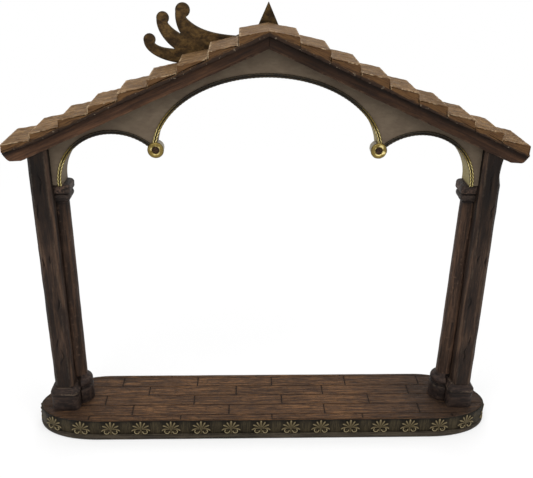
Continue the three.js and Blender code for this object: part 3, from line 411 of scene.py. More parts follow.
@dataclass
class Wiring:
    """Adds nodes to one node tree and joins them. Where a value is asked for, a socket does as well."""

    tree: bpy.types.NodeTree

    def feed(self, node: bpy.types.Node, inputs: dict) -> None:
        """Sets a node's inputs, by socket name or number, to values or to the sockets that feed them."""
        for name, value in inputs.items():
            if isinstance(value, Socket):
                self.tree.links.new(value, node.inputs[name])
            else:
                node.inputs[name].default_value = value

    def node(self, kind: str, inputs: Optional[dict] = None, **settings: object) -> bpy.types.Node:
        """A new node.

        Args:
            kind: its Blender type.
            inputs: by socket name or number, a value or the socket that feeds it.
            settings: its other properties.

        Returns:
            The node.
        """
        node = self.tree.nodes.new(kind)
        for name, value in settings.items():
            setattr(node, name, value)
        self.feed(node, inputs or {})
        return node

    def group(self, effect: bpy.types.NodeTree, inputs: dict) -> bpy.types.NodeOutputs:
        """The outputs of a shared effect put to use here."""
        return self.node("ShaderNodeGroup", inputs, node_tree=effect).outputs

    def math(self, operation: str, a: object, b: object = 0.0, clamp: bool = False) -> Socket:
        """The result of a sum on two values."""
        return self.node("ShaderNodeMath", {0: a, 1: b}, operation=operation, use_clamp=clamp).outputs[0]

    def plus(self, a: object, b: object) -> Socket:
        """a + b."""
        return self.math("ADD", a, b)

    def minus(self, a: object, b: object) -> Socket:
        """a - b."""
        return self.math("SUBTRACT", a, b)

    def times(self, a: object, b: object) -> Socket:
        """a times b."""
        return self.math("MULTIPLY", a, b)

    def parts(self, vector: Socket) -> list[Socket]:
        """The three coordinates of a vector."""
        return list(self.node("ShaderNodeSeparateXYZ", {0: vector}).outputs)

    def vector(self, *parts: object) -> Socket:
        """A vector from its three coordinates."""
        return self.node("ShaderNodeCombineXYZ", dict(enumerate(parts))).outputs[0]

    def spread(self, value: object, low: float, high: float, to_low: float = 0.0,
               to_high: float = 1.0) -> Socket:
        """A value moved from one range to another with soft ends."""
        ranges = {0: value, 1: low, 2: high, 3: to_low, 4: to_high}
        return self.node("ShaderNodeMapRange", ranges, interpolation_type="SMOOTHSTEP").outputs[0]

    def mix(self, share: object, a: object, b: object) -> Socket:
        """Two colours mixed by a share from 0 to 1."""
        return self.node("ShaderNodeMix", {0: share, 6: a, 7: b}, data_type="RGBA").outputs[2]

    def noise(self, vector: object, scale: object, detail: float, rough: float = 0.55,
              bend: float = 0.0) -> Socket:
        """Fractal noise, about 0.3 to 0.7."""
        sockets = {"Vector": vector, "Scale": scale, "Detail": detail, "Roughness": rough, "Distortion": bend}
        return self.node("ShaderNodeTexNoise", sockets).outputs["Fac"]

    def ramp(self, value: object, *stops: tuple[float, Colour]) -> Socket:
        """A colour picked from stops by a value."""
        node = self.node("ShaderNodeValToRGB", {0: value})
        points = node.color_ramp.elements
        while len(points) < len(stops):
            points.new(0.5)
        for point, (place, colour) in zip(points, stops):
            point.position, point.color = place, linear(colour)
        return node.outputs[0]

    def mask(self, name: str) -> Socket:
        """A mask that the piece carries."""
        return self.node("ShaderNodeAttribute", attribute_name=name).outputs["Fac"]


def linear(colour: Colour) -> tuple[float, float, float, float]:
    """An sRGB colour as linear values: the 2.4 power above the foot, and a straight line below it."""
    shares = np.array(colour) / 255
    values = np.where(shares <= 0.04045, shares / 12.92, ((shares + 0.055) / 1.055) ** 2.4)
    return (*values.tolist(), 1.0)


def effect(name: str, inputs: dict[str, str], outputs: dict[str, str]) -> tuple[Wiring, bpy.types.NodeOutputs]:
    """An empty node group with its sockets.

    Args:
        name: of the group.
        inputs: the kinds of its input sockets by name.
        outputs: the kinds of its output sockets by name.

    Returns:
        Its wiring, and what it is given.
    """
    tree = bpy.data.node_groups.new(name, "ShaderNodeTree")
    for way, sockets in (("INPUT", inputs), ("OUTPUT", outputs)):
        for socket, kind in sockets.items():
            tree.interface.new_socket(name=socket, in_out=way, socket_type=f"NodeSocket{kind}")
    wiring = Wiring(tree)
    return wiring, wiring.node("NodeGroupInput").outputs


@cache
def streaks_effect() -> bpy.types.NodeTree:
    """Streaks along the first axis: noise on coordinates divided by the streak's length and width."""
    wiring, given = effect("streaks", {"Vector": "Vector", "Length": "Float", "Width": "Float"},
                           {"Broad": "Float", "Fine": "Float", "Splits": "Float"})
    long = wiring.math("DIVIDE", 1.0, given["Length"])
    wide = wiring.math("DIVIDE", 1.0, given["Width"])
    scaled = {0: given["Vector"], 1: wiring.vector(long, wide, wide)}
    place = wiring.node("ShaderNodeVectorMath", scaled, operation="MULTIPLY").outputs[0]
    line = wiring.math("ABSOLUTE", wiring.minus(wiring.noise(place, 1.6, 2.0, 0.4, 0.8), 0.5))
    wiring.node("NodeGroupOutput", {
        "Broad": wiring.spread(wiring.noise(place, 1.0, 3.0, 0.5, 0.5), 0.32, 0.68),
        "Fine": wiring.spread(wiring.noise(place, 3.7, 6.0, 0.7, 0.2), 0.33, 0.67),
        "Splits": wiring.spread(line, 0.0, 0.022, 1.0, 0.0),
    })
    return wiring.tree


@cache
def mottle_effect() -> bpy.types.NodeTree:
    """Blotches and specks of a hand-painted surface: two noises, the specks nine times as fine."""
    wiring, given = effect("mottle", {"Vector": "Vector", "Size": "Float"},
                           {"Patches": "Float", "Specks": "Float"})
    scale = wiring.math("DIVIDE", 1.0, given["Size"])
    patches = wiring.noise(given["Vector"], scale, 4.0, 0.6, 0.4)
    specks = wiring.noise(given["Vector"], wiring.times(scale, 9.0), 3.0, 0.5)
    wiring.node("NodeGroupOutput", {
        "Patches": wiring.spread(patches, 0.34, 0.66), "Specks": wiring.spread(specks, 0.6, 0.74),
    })
    return wiring.tree


@cache
def rubbed_effect() -> bpy.types.NodeTree:
    """Paint rubbed off along edges: the edge mask broken up by fine noise, and stronger in some places."""
    wiring, given = effect("rubbed edges", {"Vector": "Vector", "Edge": "Float"}, {"Mask": "Float"})
    broken = wiring.spread(wiring.noise(given["Vector"], 420.0, 6.0, 0.7), 0.34, 0.6)
    places = wiring.spread(wiring.noise(given["Vector"], 75.0, 3.0, 0.6), 0.4, 0.6, 0.25, 1.0)
    worn = wiring.times(wiring.times(given["Edge"], broken), places)
    wiring.node("NodeGroupOutput", {"Mask": wiring.spread(worn, 0.15, 0.75)})
    return wiring.tree


@cache
def slope_effect() -> bpy.types.NodeTree:
    """Coordinates on the roof: down its slope, front to back and square to it, alike on both sides."""
    wiring, given = effect("down the slope", {"Vector": "Vector"}, {"Vector": "Vector"})
    x, y, z = wiring.parts(given["Vector"])
    cos, sin = math.cos(math.atan(Rake.slope)), math.sin(math.atan(Rake.slope))
    aside = wiring.math("ABSOLUTE", x)
    along = wiring.minus(wiring.times(aside, cos), wiring.times(z, sin))
    above = wiring.plus(wiring.times(aside, sin), wiring.times(z, cos))
    sided = wiring.plus(along, wiring.times(wiring.math("SIGN", x), 0.7))
    wiring.node("NodeGroupOutput", {"Vector": wiring.vector(sided, y, above)})
    return wiring.tree


class Grain(Enum):
    """Which way the grain or the brush strokes of a piece run."""

    LENGTH = "along X"
    UPRIGHT = "along Z"
    SLOPE = "down the roof"


@dataclass(frozen=True)
class Finish:
    """Paint on cast resin: streaks between three shades, patches, splits, dark wash with painted shade, and
    rubbed edges.

    Lengths are millimetres. Strengths are shares from 0 to 1.
    """

    name: str
    slot: str
    dark: Colour
    middle: Colour
    light: Colour
    worn: Colour
    grain: Grain = Grain.LENGTH
    streak: Pair = (30.0, 1.6)
    patch: float = 18.0
    patchy: float = 0.35
    splits: float = 0.5
    wear: float = 0.6
    wash: float = 0.8
    relief: float = 0.35
    roughness: Pair = (0.5, 0.75)
    gloss: float = 0.12
    metallic: float = 0.0
    tones: float = 0.3
    specks: float = 0.0

    BROAD = 0.55  # share of the broad streaks in the grain
    STOPS = (0.12, 0.5, 0.9)  # where the dark, middle and light shades lie on the grain
    DEEP = 0.45  # the wash and painted shade against the dark shade

    def along(self, wiring: Wiring, place: Socket) -> Socket:
        """Coordinates whose first axis runs along the grain.

        Args:
            wiring: of the material.
            place: the object coordinates.

        Returns:
            The turned coordinates.
        """
        if self.grain is Grain.SLOPE:
            return wiring.group(slope_effect(), {0: place})[0]
        if self.grain is Grain.LENGTH:
            return place
        x, y, z = wiring.parts(place)
        return wiring.vector(z, x, y)

    def tinted(self, wiring: Wiring, colour: Socket, place: Socket, noise: Socket) -> Socket:
        """The colour with what only this finish has. A plain one adds nothing."""
        return colour

    def metal(self, wiring: Wiring, noise: Socket) -> object:
        """How metallic the paint is: one number here."""
        return self.metallic


@cache
def painted(finish: Finish) -> bpy.types.Material:
    """The material of a finish, built once.

    The streaks pick a shade, patches and the tone mask, a piece's own tone and painted light, lighten or
    darken it, and splits, the finish's own tint, the wash with painted shade and the rubbed paint are laid
    over it in that order.

    Args:
        finish: the colours and strengths.

    Returns:
        The material.
    """
    material = bpy.data.materials.new(finish.name)
    material.use_nodes = True
    wiring = Wiring(material.node_tree)
    place = wiring.node("ShaderNodeTexCoord").outputs["Object"]
    streaks = wiring.group(streaks_effect(), {
        "Vector": finish.along(wiring, place), "Length": finish.streak[0] * MM, "Width": finish.streak[1] * MM,
    })
    mottle = wiring.group(mottle_effect(), {"Vector": place, "Size": finish.patch * MM})
    rubbed = wiring.group(rubbed_effect(), {"Vector": place, "Edge": wiring.mask("edge")})

    grainy = wiring.plus(wiring.times(streaks["Broad"], finish.BROAD),
                         wiring.times(streaks["Fine"], 1 - finish.BROAD))
    colour = wiring.ramp(grainy, *zip(finish.STOPS, (finish.dark, finish.middle, finish.light)))
    shade = wiring.plus(wiring.times(mottle["Patches"], finish.patchy),
                        wiring.times(wiring.mask("tone"), finish.tones))
    level = wiring.plus(shade, 1.0 - (finish.patchy + finish.tones) / 2)
    colour = wiring.node("ShaderNodeHueSaturation", {"Value": level, "Color": colour}).outputs[0]
    splits = wiring.times(streaks["Splits"], finish.splits)
    colour = wiring.mix(splits, colour, linear(finish.dark))
    colour = finish.tinted(wiring, colour, place, streaks["Fine"])
    # The wash mask pulls the colour to a darker shade: wash in recesses and painted shade.
    depths = tuple(int(part * finish.DEEP) for part in finish.dark)
    washed_and_shaded = wiring.math("MULTIPLY", wiring.mask("wash"), finish.wash, clamp=True)
    colour = wiring.mix(washed_and_shaded, colour, linear(depths))
    worn = wiring.math("MAXIMUM", wiring.times(rubbed["Mask"], finish.wear),
                       wiring.times(mottle["Specks"], finish.specks))
    colour = wiring.mix(worn, colour, linear(finish.worn))
    height = wiring.plus(wiring.times(streaks["Broad"], 0.4), grainy)
    height = wiring.minus(height, wiring.times(splits, 0.7))
    bump = wiring.node("ShaderNodeBump", {"Height": height, "Strength": 0.8, "Distance": finish.relief * MM})
    wiring.feed(material.node_tree.nodes["Principled BSDF"], {
        "Base Color": colour,
        "Roughness": wiring.spread(streaks["Fine"], 0.0, 1.0, *finish.roughness),
        "Metallic": finish.metal(wiring, streaks["Fine"]),
        "Specular IOR Level": finish.gloss,
        "Normal": bump.outputs[0],
    })
    LOG.info("finish %s", finish.name)
    return material


@dataclass(frozen=True)
class ShinglePaint(Finish):
    """Shingle paint: warmer cut ends at the front and back, and painted shadow with grime towards their lower
    edge.
    """

    cut: Colour = (117, 86, 53)
    cut_dark: Colour = (74, 50, 31)
    darkening: Colour = (40, 30, 25)
    flake: Colour = (128, 114, 96)
    foot: float = 0.0
    grime_and_shadow_reach: float = 3.6
    grime_and_shadow_ragged: float = 2.4

    def tinted(self, wiring: Wiring, colour: Socket, place: Socket, noise: Socket) -> Socket:
        """Adds the cut ends, where the face mask is high, and the painted shadow with grime above the roof's
        underside.
        """
        x, _, z = wiring.parts(place)
        cut = wiring.ramp(noise, (0.05, self.cut_dark), (0.7, self.cut))
        shaded = wiring.times(wiring.minus(1.0, wiring.mask("tone")), 0.6)
        cut = wiring.mix(shaded, cut, linear(self.cut_dark))
        colour = wiring.mix(wiring.spread(wiring.mask("face"), 0.25, 0.6), colour, cut)
        # Painted shadow with grime just above the lower line of the shingles, ragged, with pale flakes in it.
        rise = wiring.plus(z, wiring.times(wiring.math("ABSOLUTE", x), Rake.slope))
        ragged = wiring.times(wiring.minus(noise, 0.5), self.grime_and_shadow_ragged * MM)
        above = wiring.plus(wiring.minus(rise, self.foot * MM), ragged)
        darkish = wiring.spread(above, 0.4 * self.grime_and_shadow_reach * MM, self.grime_and_shadow_reach * MM, 1.0, 0.0)
        colour = wiring.mix(wiring.times(darkish, 0.9), colour, linear(self.darkening))
        flaked = wiring.times(darkish, wiring.spread(wiring.noise(place, 330.0, 2.0), 0.62, 0.68))
        return wiring.mix(wiring.times(flaked, 0.7), colour, linear(self.flake))


@dataclass(frozen=True)
class GildedPaint(Finish):
    """Paint with gilding rubbed on where the piece's gold mask is high, and a painted highlight, the glint,
    where it is highest.
    """

    gold: Colour = (124, 110, 80)
    glint: Colour = (168, 154, 120)
    shine: float = 0.3
    low: float = 0.25
    high: float = 0.75

    def gilding(self, wiring: Wiring, noise: Socket) -> Socket:
        """Where the gold lies: the mask, made ragged by the fine streaks."""
        ragged = wiring.times(wiring.minus(noise, 0.5), 0.45)
        return wiring.spread(wiring.plus(wiring.mask("gold"), ragged), self.low, self.high)

    def tinted(self, wiring: Wiring, colour: Socket, place: Socket, noise: Socket) -> Socket:
        """Lays the gold over the paint, and the glint, a painted highlight, where the mask is highest."""
        colour = wiring.mix(self.gilding(wiring, noise), colour, linear(self.gold))
        return wiring.mix(wiring.spread(wiring.mask("gold"), 0.8, 1.0), colour, linear(self.glint))

    def metal(self, wiring: Wiring, noise: Socket) -> object:
        """Metallic only where the gold lies."""
        return wiring.times(self.gilding(wiring, noise), self.shine)


@dataclass(frozen=True)
class DeckPaint(Finish):
    """Plank paint that grows darker towards the ends, round the feet of the piers."""

    darkening: Colour = (48, 38, 32)
    centre: float = -25.0
    undarkened: float = 110.0
    darkish: float = 225.0
    ragged: float = 14.0

    def tinted(self, wiring: Wiring, colour: Socket, place: Socket, noise: Socket) -> Socket:
        """Adds the darkening by the distance from the middle, made ragged by the streaks."""
        aside = wiring.math("ABSOLUTE", wiring.minus(wiring.parts(place)[0], self.centre * MM))
        ragged = wiring.plus(aside, wiring.times(noise, self.ragged * MM))
        darkish = wiring.spread(ragged, self.undarkened * MM, self.darkish * MM)
        return wiring.mix(wiring.times(darkish, 0.7), colour, linear(self.darkening))


@dataclass(frozen=True)
class RimmedPaint(Finish):
    """Bronze paint whose margins are darker than its faces."""

    margin: Colour = (52, 44, 32)

    def tinted(self, wiring: Wiring, colour: Socket, place: Socket, noise: Socket) -> Socket:
        """Darkens the margin that the rim mask gives."""
        return wiring.mix(wiring.times(wiring.mask("rim"), 0.75), colour, linear(self.margin))


@dataclass(frozen=True)
class Plan:
    """Plan of the base: straight sides, and ends that follow |x/a|^n + |y/b|^n = 1.

    The tips of the ends stand forward of the middle line by the lean: y + lean (1 - (y/b)^2).
    """

    straight: float
    reach: float
    half_depth: float
    fullness: float = 1.98
    lean: float = 0.0
    count: int = 6000

    @classmethod
    def of_deck(cls, reach: float = 65.0) -> "Plan":
        """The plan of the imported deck, whose ends are as long as the reach."""
        box = Box.of("plank_deck")
        return cls(float(box.high[0]) - reach, reach, float(box.high[1]))

    def edge(self) -> np.ndarray:
        """The outline at many points, from the middle of the front round to the right."""
        turn = np.linspace(-np.pi / 2, np.pi / 2, self.count)
        along = np.cos(turn).clip(0) ** (2 / self.fullness) * self.reach
        across = np.sign(np.sin(turn)) * np.abs(np.sin(turn)) ** (2 / self.fullness) * self.half_depth
        right = np.stack([self.straight + along, self.leaned(across)], axis=1)
        return np.vstack([[[0, -self.half_depth]], right, right[::-1] * [-1, 1]])

    def leaned(self, y: np.ndarray) -> np.ndarray:
        """Y of points of the even plan once the tips stand forward."""
        return y + self.lean * (1 - (y / self.half_depth) ** 2)

    def at(self, shares: np.ndarray) -> tuple[np.ndarray, np.ndarray]:
        """Points and outward directions at shares of the way round.

        Args:
            shares: 0 to 1 from the middle of the front.

        Returns:
            The points and the unit normals, one row each.
        """
        edge, length = ringed(self.edge()), self.length()
        near = 0.6 / length

        def place(share: np.ndarray) -> np.ndarray:
            """The outline's point at each share."""
            return at_lengths(edge, share % 1 * length)

        tangent = unit(place(shares + near) - place(shares - near))
        return place(shares), np.stack([tangent[:, 1], -tangent[:, 0]], axis=1)

    def length(self) -> float:
        """The way round the outline."""
        return float(running(ringed(self.edge()))[-1])

    def half_length(self, y: np.ndarray) -> np.ndarray:
        """Half the deck's length at each Y: the even plan's, where the lean is solved for as a quadratic."""
        bend = 4 * self.lean / self.half_depth ** 2 * (y - self.lean)
        even = 2 * (y - self.lean) / (1 + np.sqrt(np.clip(1 - bend, 0, None)))
        share = np.clip(np.abs(even) / self.half_depth, 0, 1) ** self.fullness
        return self.straight + self.reach * (1 - share) ** (1 / self.fullness)

    def front_and_rear(self, x: float) -> np.ndarray:
        """Y of the deck's front and rear edge at a distance from the middle."""
        share = min(max((abs(x) - self.straight) / self.reach, 0), 1) ** self.fullness
        return self.leaned(self.half_depth * (1 - share) ** (1 / self.fullness) * np.array([-1.0, 1.0]))


@dataclass(frozen=True)
class Base:
    """The base: a body with its lip, the band with palmettes, the deck's edge and its planks."""

    plan: Plan
    deck_end: Pair = (-1.5, -6.0)  # reach and lean of the deck's ends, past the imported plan
    band_end: Pair = (1.3, -7.0)
    lip: float = 3.0
    lip_round: float = 1.5
    lip_fullness: float = 2.2
    lip_sag: float = 0.7
    lip_drop: float = 1.2
    nose_lift: float = 1.1
    waist: float = -2.0
    behind_band: float = -3.2
    round_count: int = 560
    deck_bed: float = 0.8
    palmettes: int = 33
    fan_half: float = 12.0
    leaves: int = 7
    leaf_fan: float = 152.0
    leaf_reach: Pair = (0.9, 0.97)  # of an outer leaf and of the middle one
    leaf_half: Pair = (1.38, 1.725)
    leaf_droop: float = 22.0
    root: float = 5.4
    curl: tuple[float, float, float, float] = (4.1, 3.15, 2.3, 0.75)  # aside, up, radius, half width
    knob: Pair = (0.75, 0.7)  # radius and height of the knob in a curl
    stem: Pair = (1.1, 0.6)  # half width and height of the stem
    shift: float = -4.0
    relief: float = 1.15
    band_recess: float = 1.2
    band_back: float = 3.4
    column_spacing: float = 0.36
    plank: float = 16.3
    first_seam: float = -30.4
    gap: float = 0.35
    end_gap: float = 1.1
    plank_margin: float = 0.9
    plank_grain: float = 1.7
    rows: tuple[Pair, ...] = (
        (-177, 92), (-232.2, 97.8), (-164.3, 91.2), (-213, 91.7), (-151.1, 79.8), (-192, 92),
    )  # a butt joint and the planks' length in each row, from the front

    BODY_PAINT = Finish("olive grey paint", "base_paint",
                        (42, 37, 31), (60, 53, 44), (76, 68, 56), (92, 84, 70),
                        streak=(40, 3.5), patch=30, patchy=0.2, splits=0.1, wear=0.3, relief=0.15)
    BAND_PAINT = GildedPaint("band paint", "frieze_paint",
                             (40, 34, 24), (60, 52, 38), (80, 71, 51), (96, 86, 64),
                             Grain.UPRIGHT, (12, 0.9), patch=22, splits=0.3, wear=0.2, wash=0.9, relief=0.2)
    DECK_PAINT = DeckPaint("plank paint", "deck_paint",
                           (44, 30, 21), (78, 55, 37), (128, 92, 60), (134, 102, 74),
                           streak=(22, 1.2), patch=42, patchy=0.3, splits=0.9, wear=0.3, wash=0.9, relief=0.4,
                           roughness=(0.45, 0.7), tones=0.2)

    def ended(self, end: Pair) -> Plan:
        """The plan with ends that reach further and stand further forward."""
        return replace(self.plan, reach=self.plan.reach + end[0], lean=end[1])

    def rings(self, plan: Plan, stops: list[Pair]) -> Skin:
        """A solid of a plan, carried upwards through stops of offset and height.

        Args:
            plan: the outline.
            stops: how far outside the plan, and how high, from the underside to the top.

        Returns:
            The skin.
        """
        edge, out = plan.at(np.arange(self.round_count) / self.round_count)
        grow, high = np.array(stops).T
        flat = edge + grow[:, None, None] * out
        uneven = 0.12 * unevenness(11, 40, flat[..., 0], flat[..., 1], 3 * high[:, None])
        flat = flat - out * np.abs(uneven)[..., None]
        rings = np.concatenate([flat, np.broadcast_to(high[:, None, None], flat.shape[:2] + (1,))], axis=2)
        sharp = np.zeros(len(stops))
        sharp[1:-1] = np.linalg.norm(np.diff(np.array(stops), n=2, axis=0), axis=1)
        return Skin.carried(rings, {"edge": np.clip(sharp, 0, 1)[:, None]})

    def body(self) -> Skin:
        """The body: underside, rounded lip and the waist behind the band."""
        low, top = Box.of("base_body").low[2] - self.lip_sag, self.band_levels()[0]
        turn = np.radians(np.linspace(-90, 90, 11))
        grow = self.lip - self.lip_round * (1 - np.cos(turn))
        straight = (top - low) / 2 - self.lip_round
        high = (low + top) / 2 + np.sign(turn) * straight + self.lip_round * np.sin(turn)
        stops = [(self.waist - 8, low), (self.lip - self.lip_round - 1, low), *zip(grow, high),
                 (self.waist, top), (self.behind_band, top + 0.4),
                 (self.behind_band, Box.of("plank_deck").low[2] + 0.1)]
        return self.rings(replace(self.plan, fullness=self.lip_fullness), stops)

    def band_levels(self) -> Pair:
        """Foot and head of the band as it is seen, between the lip and the thin nosing of the deck."""
        box = Box.of("palmette_frieze")
        return float(box.low[2]) - self.lip_drop, float(box.high[2]) + self.nose_lift

    def deck_edge(self) -> Skin:
        """The board under the planks, whose rounded nosing is the deck's edge."""
        low, top = self.band_levels()[1], Box.of("plank_deck").high[2]
        stops = [(-3, low), (-0.6, low), (-0.1, low + 0.25), (0, low + 0.5), (-0.1, top - 0.35),
                 (-0.35, top - 0.15), (-0.8, top - 0.1), (-1.1, top - self.deck_bed),
                 (-3, top - self.deck_bed)]
        skin = self.rings(self.ended(self.deck_end), stops)
        # Painted shade under the nosing; darker on the bed that shows between the planks.
        skin.masks["wash"] = np.repeat([0.8, 0.5, 0.1, 0, 0, 0, 0.4, 1, 1], self.round_count)
        return skin

    def palmette(self, x: np.ndarray, y: np.ndarray) -> np.ndarray:
        """Height of one palmette, 0 to 1.

        The highest of its leaves and curls. A leaf is a round-backed ridge from the root outwards, whose half
        width is its widest times the square root of the way along, rounded off at its tip. Its lean grows with
        the square of the way along, so that the outer leaves droop. A curl is a ridge round an open circle.

        Args:
            x: place along the band from the palmette's middle.
            y: place above the foot of the band.

        Returns:
            The height at each place.
        """
        heights = []
        low, high = self.band_levels()
        longest = high - low - 0.35 - self.root
        fan, droop = math.radians(self.leaf_fan), math.radians(self.leaf_droop)
        for leaf in range(self.leaves):
            lean = fan * (leaf / (self.leaves - 1) - 0.5)
            middle = int(leaf == self.leaves // 2)
            reach = longest * self.leaf_reach[middle]
            way = np.hypot(x, y - self.root) / reach
            inside = np.clip(way, 1e-4, 1)
            fallen = droop * (2 * lean / fan) ** 3 * inside ** 2
            aside = inside * reach * (np.arctan2(x, y - self.root) - lean - fallen)
            half = self.leaf_half[middle] * np.sqrt(inside) * np.sqrt(np.clip(1 - inside ** 7, 0, 1)) + 1e-6
            heights.append(dome(aside / half) * (0.45 + 0.55 * inside) * ((way > 0) & (way < 1)))
        aside, up, radius, half = self.curl
        gap = np.hypot(np.abs(x) - aside, y - up)
        turn = np.degrees(np.arctan2(y - up, np.abs(x) - aside)) % 360
        heights.append(dome((gap - radius) / half) * ((turn > 165) | (turn < 50)))
        heights.append(dome(gap / self.knob[0]) * self.knob[1])
        heights.append(dome(x / self.stem[0]) * (y < self.root + 0.6) * self.stem[1])
        return np.maximum.reduce(heights)

    def frieze(self) -> Skin:
        """The band with its palmettes: a loop whose outer face is raised by their height."""
        foot, head = self.band_levels()
        tall = head - foot
        plan, count = self.ended(self.band_end), self.palmettes
        length = plan.length()
        pitch = length / count
        between = np.linspace(self.fan_half + 0.1, pitch - self.fan_half - 0.1, 5)
        aside = np.concatenate([np.arange(-self.fan_half, self.fan_half, self.column_spacing), between])
        shares = (np.arange(count)[:, None] * pitch + aside + self.shift).ravel() / length
        local = np.tile(np.where(aside > pitch / 2, aside - pitch, aside), count)[:, None]
        edge, out = plan.at(shares)
        up = np.concatenate([[0.0], np.arange(0.3, tall - 0.1, 0.36), [tall]])
        height = self.palmette(local, up[None, :])
        rough = 0.1 * unevenness(5, 6, shares[:, None] * length, up[None, :] * 2)
        raised = height * self.relief - np.abs(rough) * (height < 0.05)
        face = edge[:, None, :] + (raised - self.band_recess)[..., None] * out[:, None, :]
        face = np.concatenate([face, np.broadcast_to(foot + up, height.shape)[..., None]], axis=2)
        back = edge - self.band_back * out
        levels = [np.column_stack([back, np.full(len(back), level)]) for level in (head, foot)]
        inner = np.stack(levels, axis=1)
        pad = np.zeros((len(back), 2))
        # Painted shade in the creases at the band's foot and under the nosing, and wash on the ground round
        # the leaves. The gold mask is the relief's height, so its crests take the glint, a painted highlight.
        crease_shade = np.exp(-up / 0.9)[None, :] + 1.6 * np.exp(-(tall - up) / 1.7)[None, :]
        round_leaves = np.clip(1.15 - (np.abs(local) / 11.3) ** 4, 0, 1)
        wash = np.clip(crease_shade + 0.75 * round_leaves, 0, 1) * (1 - height)
        masks = {"gold": np.hstack([height, pad]), "wash": np.hstack([wash, pad])}
        return Skin.carried(np.concatenate([face, inner], axis=1), masks, looped=True)

    def planks(self) -> Skin:
        """The planks, each a thin board with eased edges and carved grain, cut to the deck's plan."""
        top = Box.of("plank_deck").high[2]
        levels = (top - self.deck_bed - 0.2, top)
        plan, margin = self.ended(self.deck_end), self.plank_margin
        inner = replace(plan, reach=plan.reach - margin, half_depth=plan.half_depth - margin)
        seams = [self.first_seam + k * self.plank for k in range(len(self.rows) - 1)]
        lows, highs = [-inner.half_depth, *seams], [*seams, inner.half_depth]
        boards = []
        dice = np.random.default_rng(3)
        for (start, spacing), low, high in zip(self.rows, lows, highs):
            cuts = [-300.0, *np.arange(start, 300, spacing), 300.0]
            for left, right in zip(cuts[:-1], cuts[1:]):
                near = 0.0 if left < 0 < right else min(abs(left), abs(right))
                front, rear = inner.front_and_rear(near + 1.5)
                sides = (max(low, front + 0.05), min(high, rear - 0.05))
                tone, seed = dice.random(), int(dice.integers(1, 10000))
                if near > inner.straight + inner.reach - 3 or sides[1] - sides[0] < 1.5:
                    continue
                boards.append(self.one_plank(inner, (left, right), sides, levels, tone, seed))
        return Skin.joined(boards)

    def one_plank(self, inner: Plan, ends: Pair, sides: Pair, levels: Pair, tone: float, seed: int) -> Skin:
        """One plank: a rounded section carried along it, its ends eased and cut to the plan.

        Args:
            inner: plan that the planks stay inside.
            ends: its left and right butt joints.
            sides: its front and back seams.
            levels: its underside and top.
            tone: its shade, 0 to 1.
            seed: picks its grain.

        Returns:
            The skin.
        """
        half = (sides[1] - sides[0] - self.gap) / 2
        tall = (levels[1] - levels[0]) / 2
        ring = Section(per_side=max(int(half / 0.6), 4), per_corner=3)
        a, b, _, out_b, edge = ring.ring(half, tall, (0.1, 0.3, 0.3, 0.1))
        y = (sides[0] + sides[1]) / 2 + a[0]
        limit = inner.half_length(y)
        x0 = np.clip(ends[0] + self.end_gap / 2, -limit, limit)
        x1 = np.clip(ends[1] - self.end_gap / 2, -limit, limit)
        count = max(int((x1 - x0).max() / 1.3), 4)
        share = np.concatenate([[0, 0.0006, 0.003], np.linspace(0.008, 0.992, count), [0.997, 0.9994, 1]])
        x = x0 + share[:, None] * (x1 - x0)
        y = y + 0 * x
        to_end = np.minimum(x - x0, x1 - x)
        ease = np.exp(-to_end / 0.35)
        upper = (out_b > 0.5) * 1.0
        grain = carved_grain(seed, self.plank_grain, x, y)
        cut = 0.3 * grain + 0.1 * np.abs(unevenness(seed, 24, x, 4 * y))
        z = (levels[0] + levels[1]) / 2 + b - upper * (cut * (1 - ease) + 0.28 * ease)
        near = np.maximum(edge, np.exp(-to_end / 0.9))
        wash = np.clip(0.5 * near * (1 - 0.25 * upper) + 0.5 * grain, 0, 1)
        masks = {"edge": near * 0.5, "wash": wash, "tone": tone}
        return Skin.carried(np.stack([x, y, z], axis=-1), masks)

    def build(self) -> None:
        """Makes and dresses the base's pieces."""
        self.body().put("base_with_lip", self.BODY_PAINT, "base_body")
        self.frieze().put("palmette_band", self.BAND_PAINT, "palmette_frieze")
        self.deck_edge().put("deck_edge", self.DECK_PAINT, "plank_deck")
        self.planks().put("deck_planks", self.DECK_PAINT)


@dataclass(frozen=True)
class Rake:
    """The lines of the gable roof and its boards."""

    half_span: float
    eave: float
    slope: float = 0.4505
    butt: float = 8.6
    riser: float = 6.0
    seat: float = 0.3
    slab: float = 12.0
    courses: int = 8

    @classmethod
    def of_shingles(cls) -> "Rake":
        """The lines read from the first course."""
        box = Box.of("shingle_right_1")
        return cls(float(box.high[0]), float(box.low[2]) + cls.butt)

    def line(self, x: Number) -> Number:
        """Height of the line through the corners of the butts."""
        return self.eave + (self.half_span - np.abs(x)) * self.slope

    def under(self, x: Number) -> Number:
        """Height of the underside, less the room for what stands below it."""
        return self.line(x) - self.butt - 2 * self.seat - self.slab


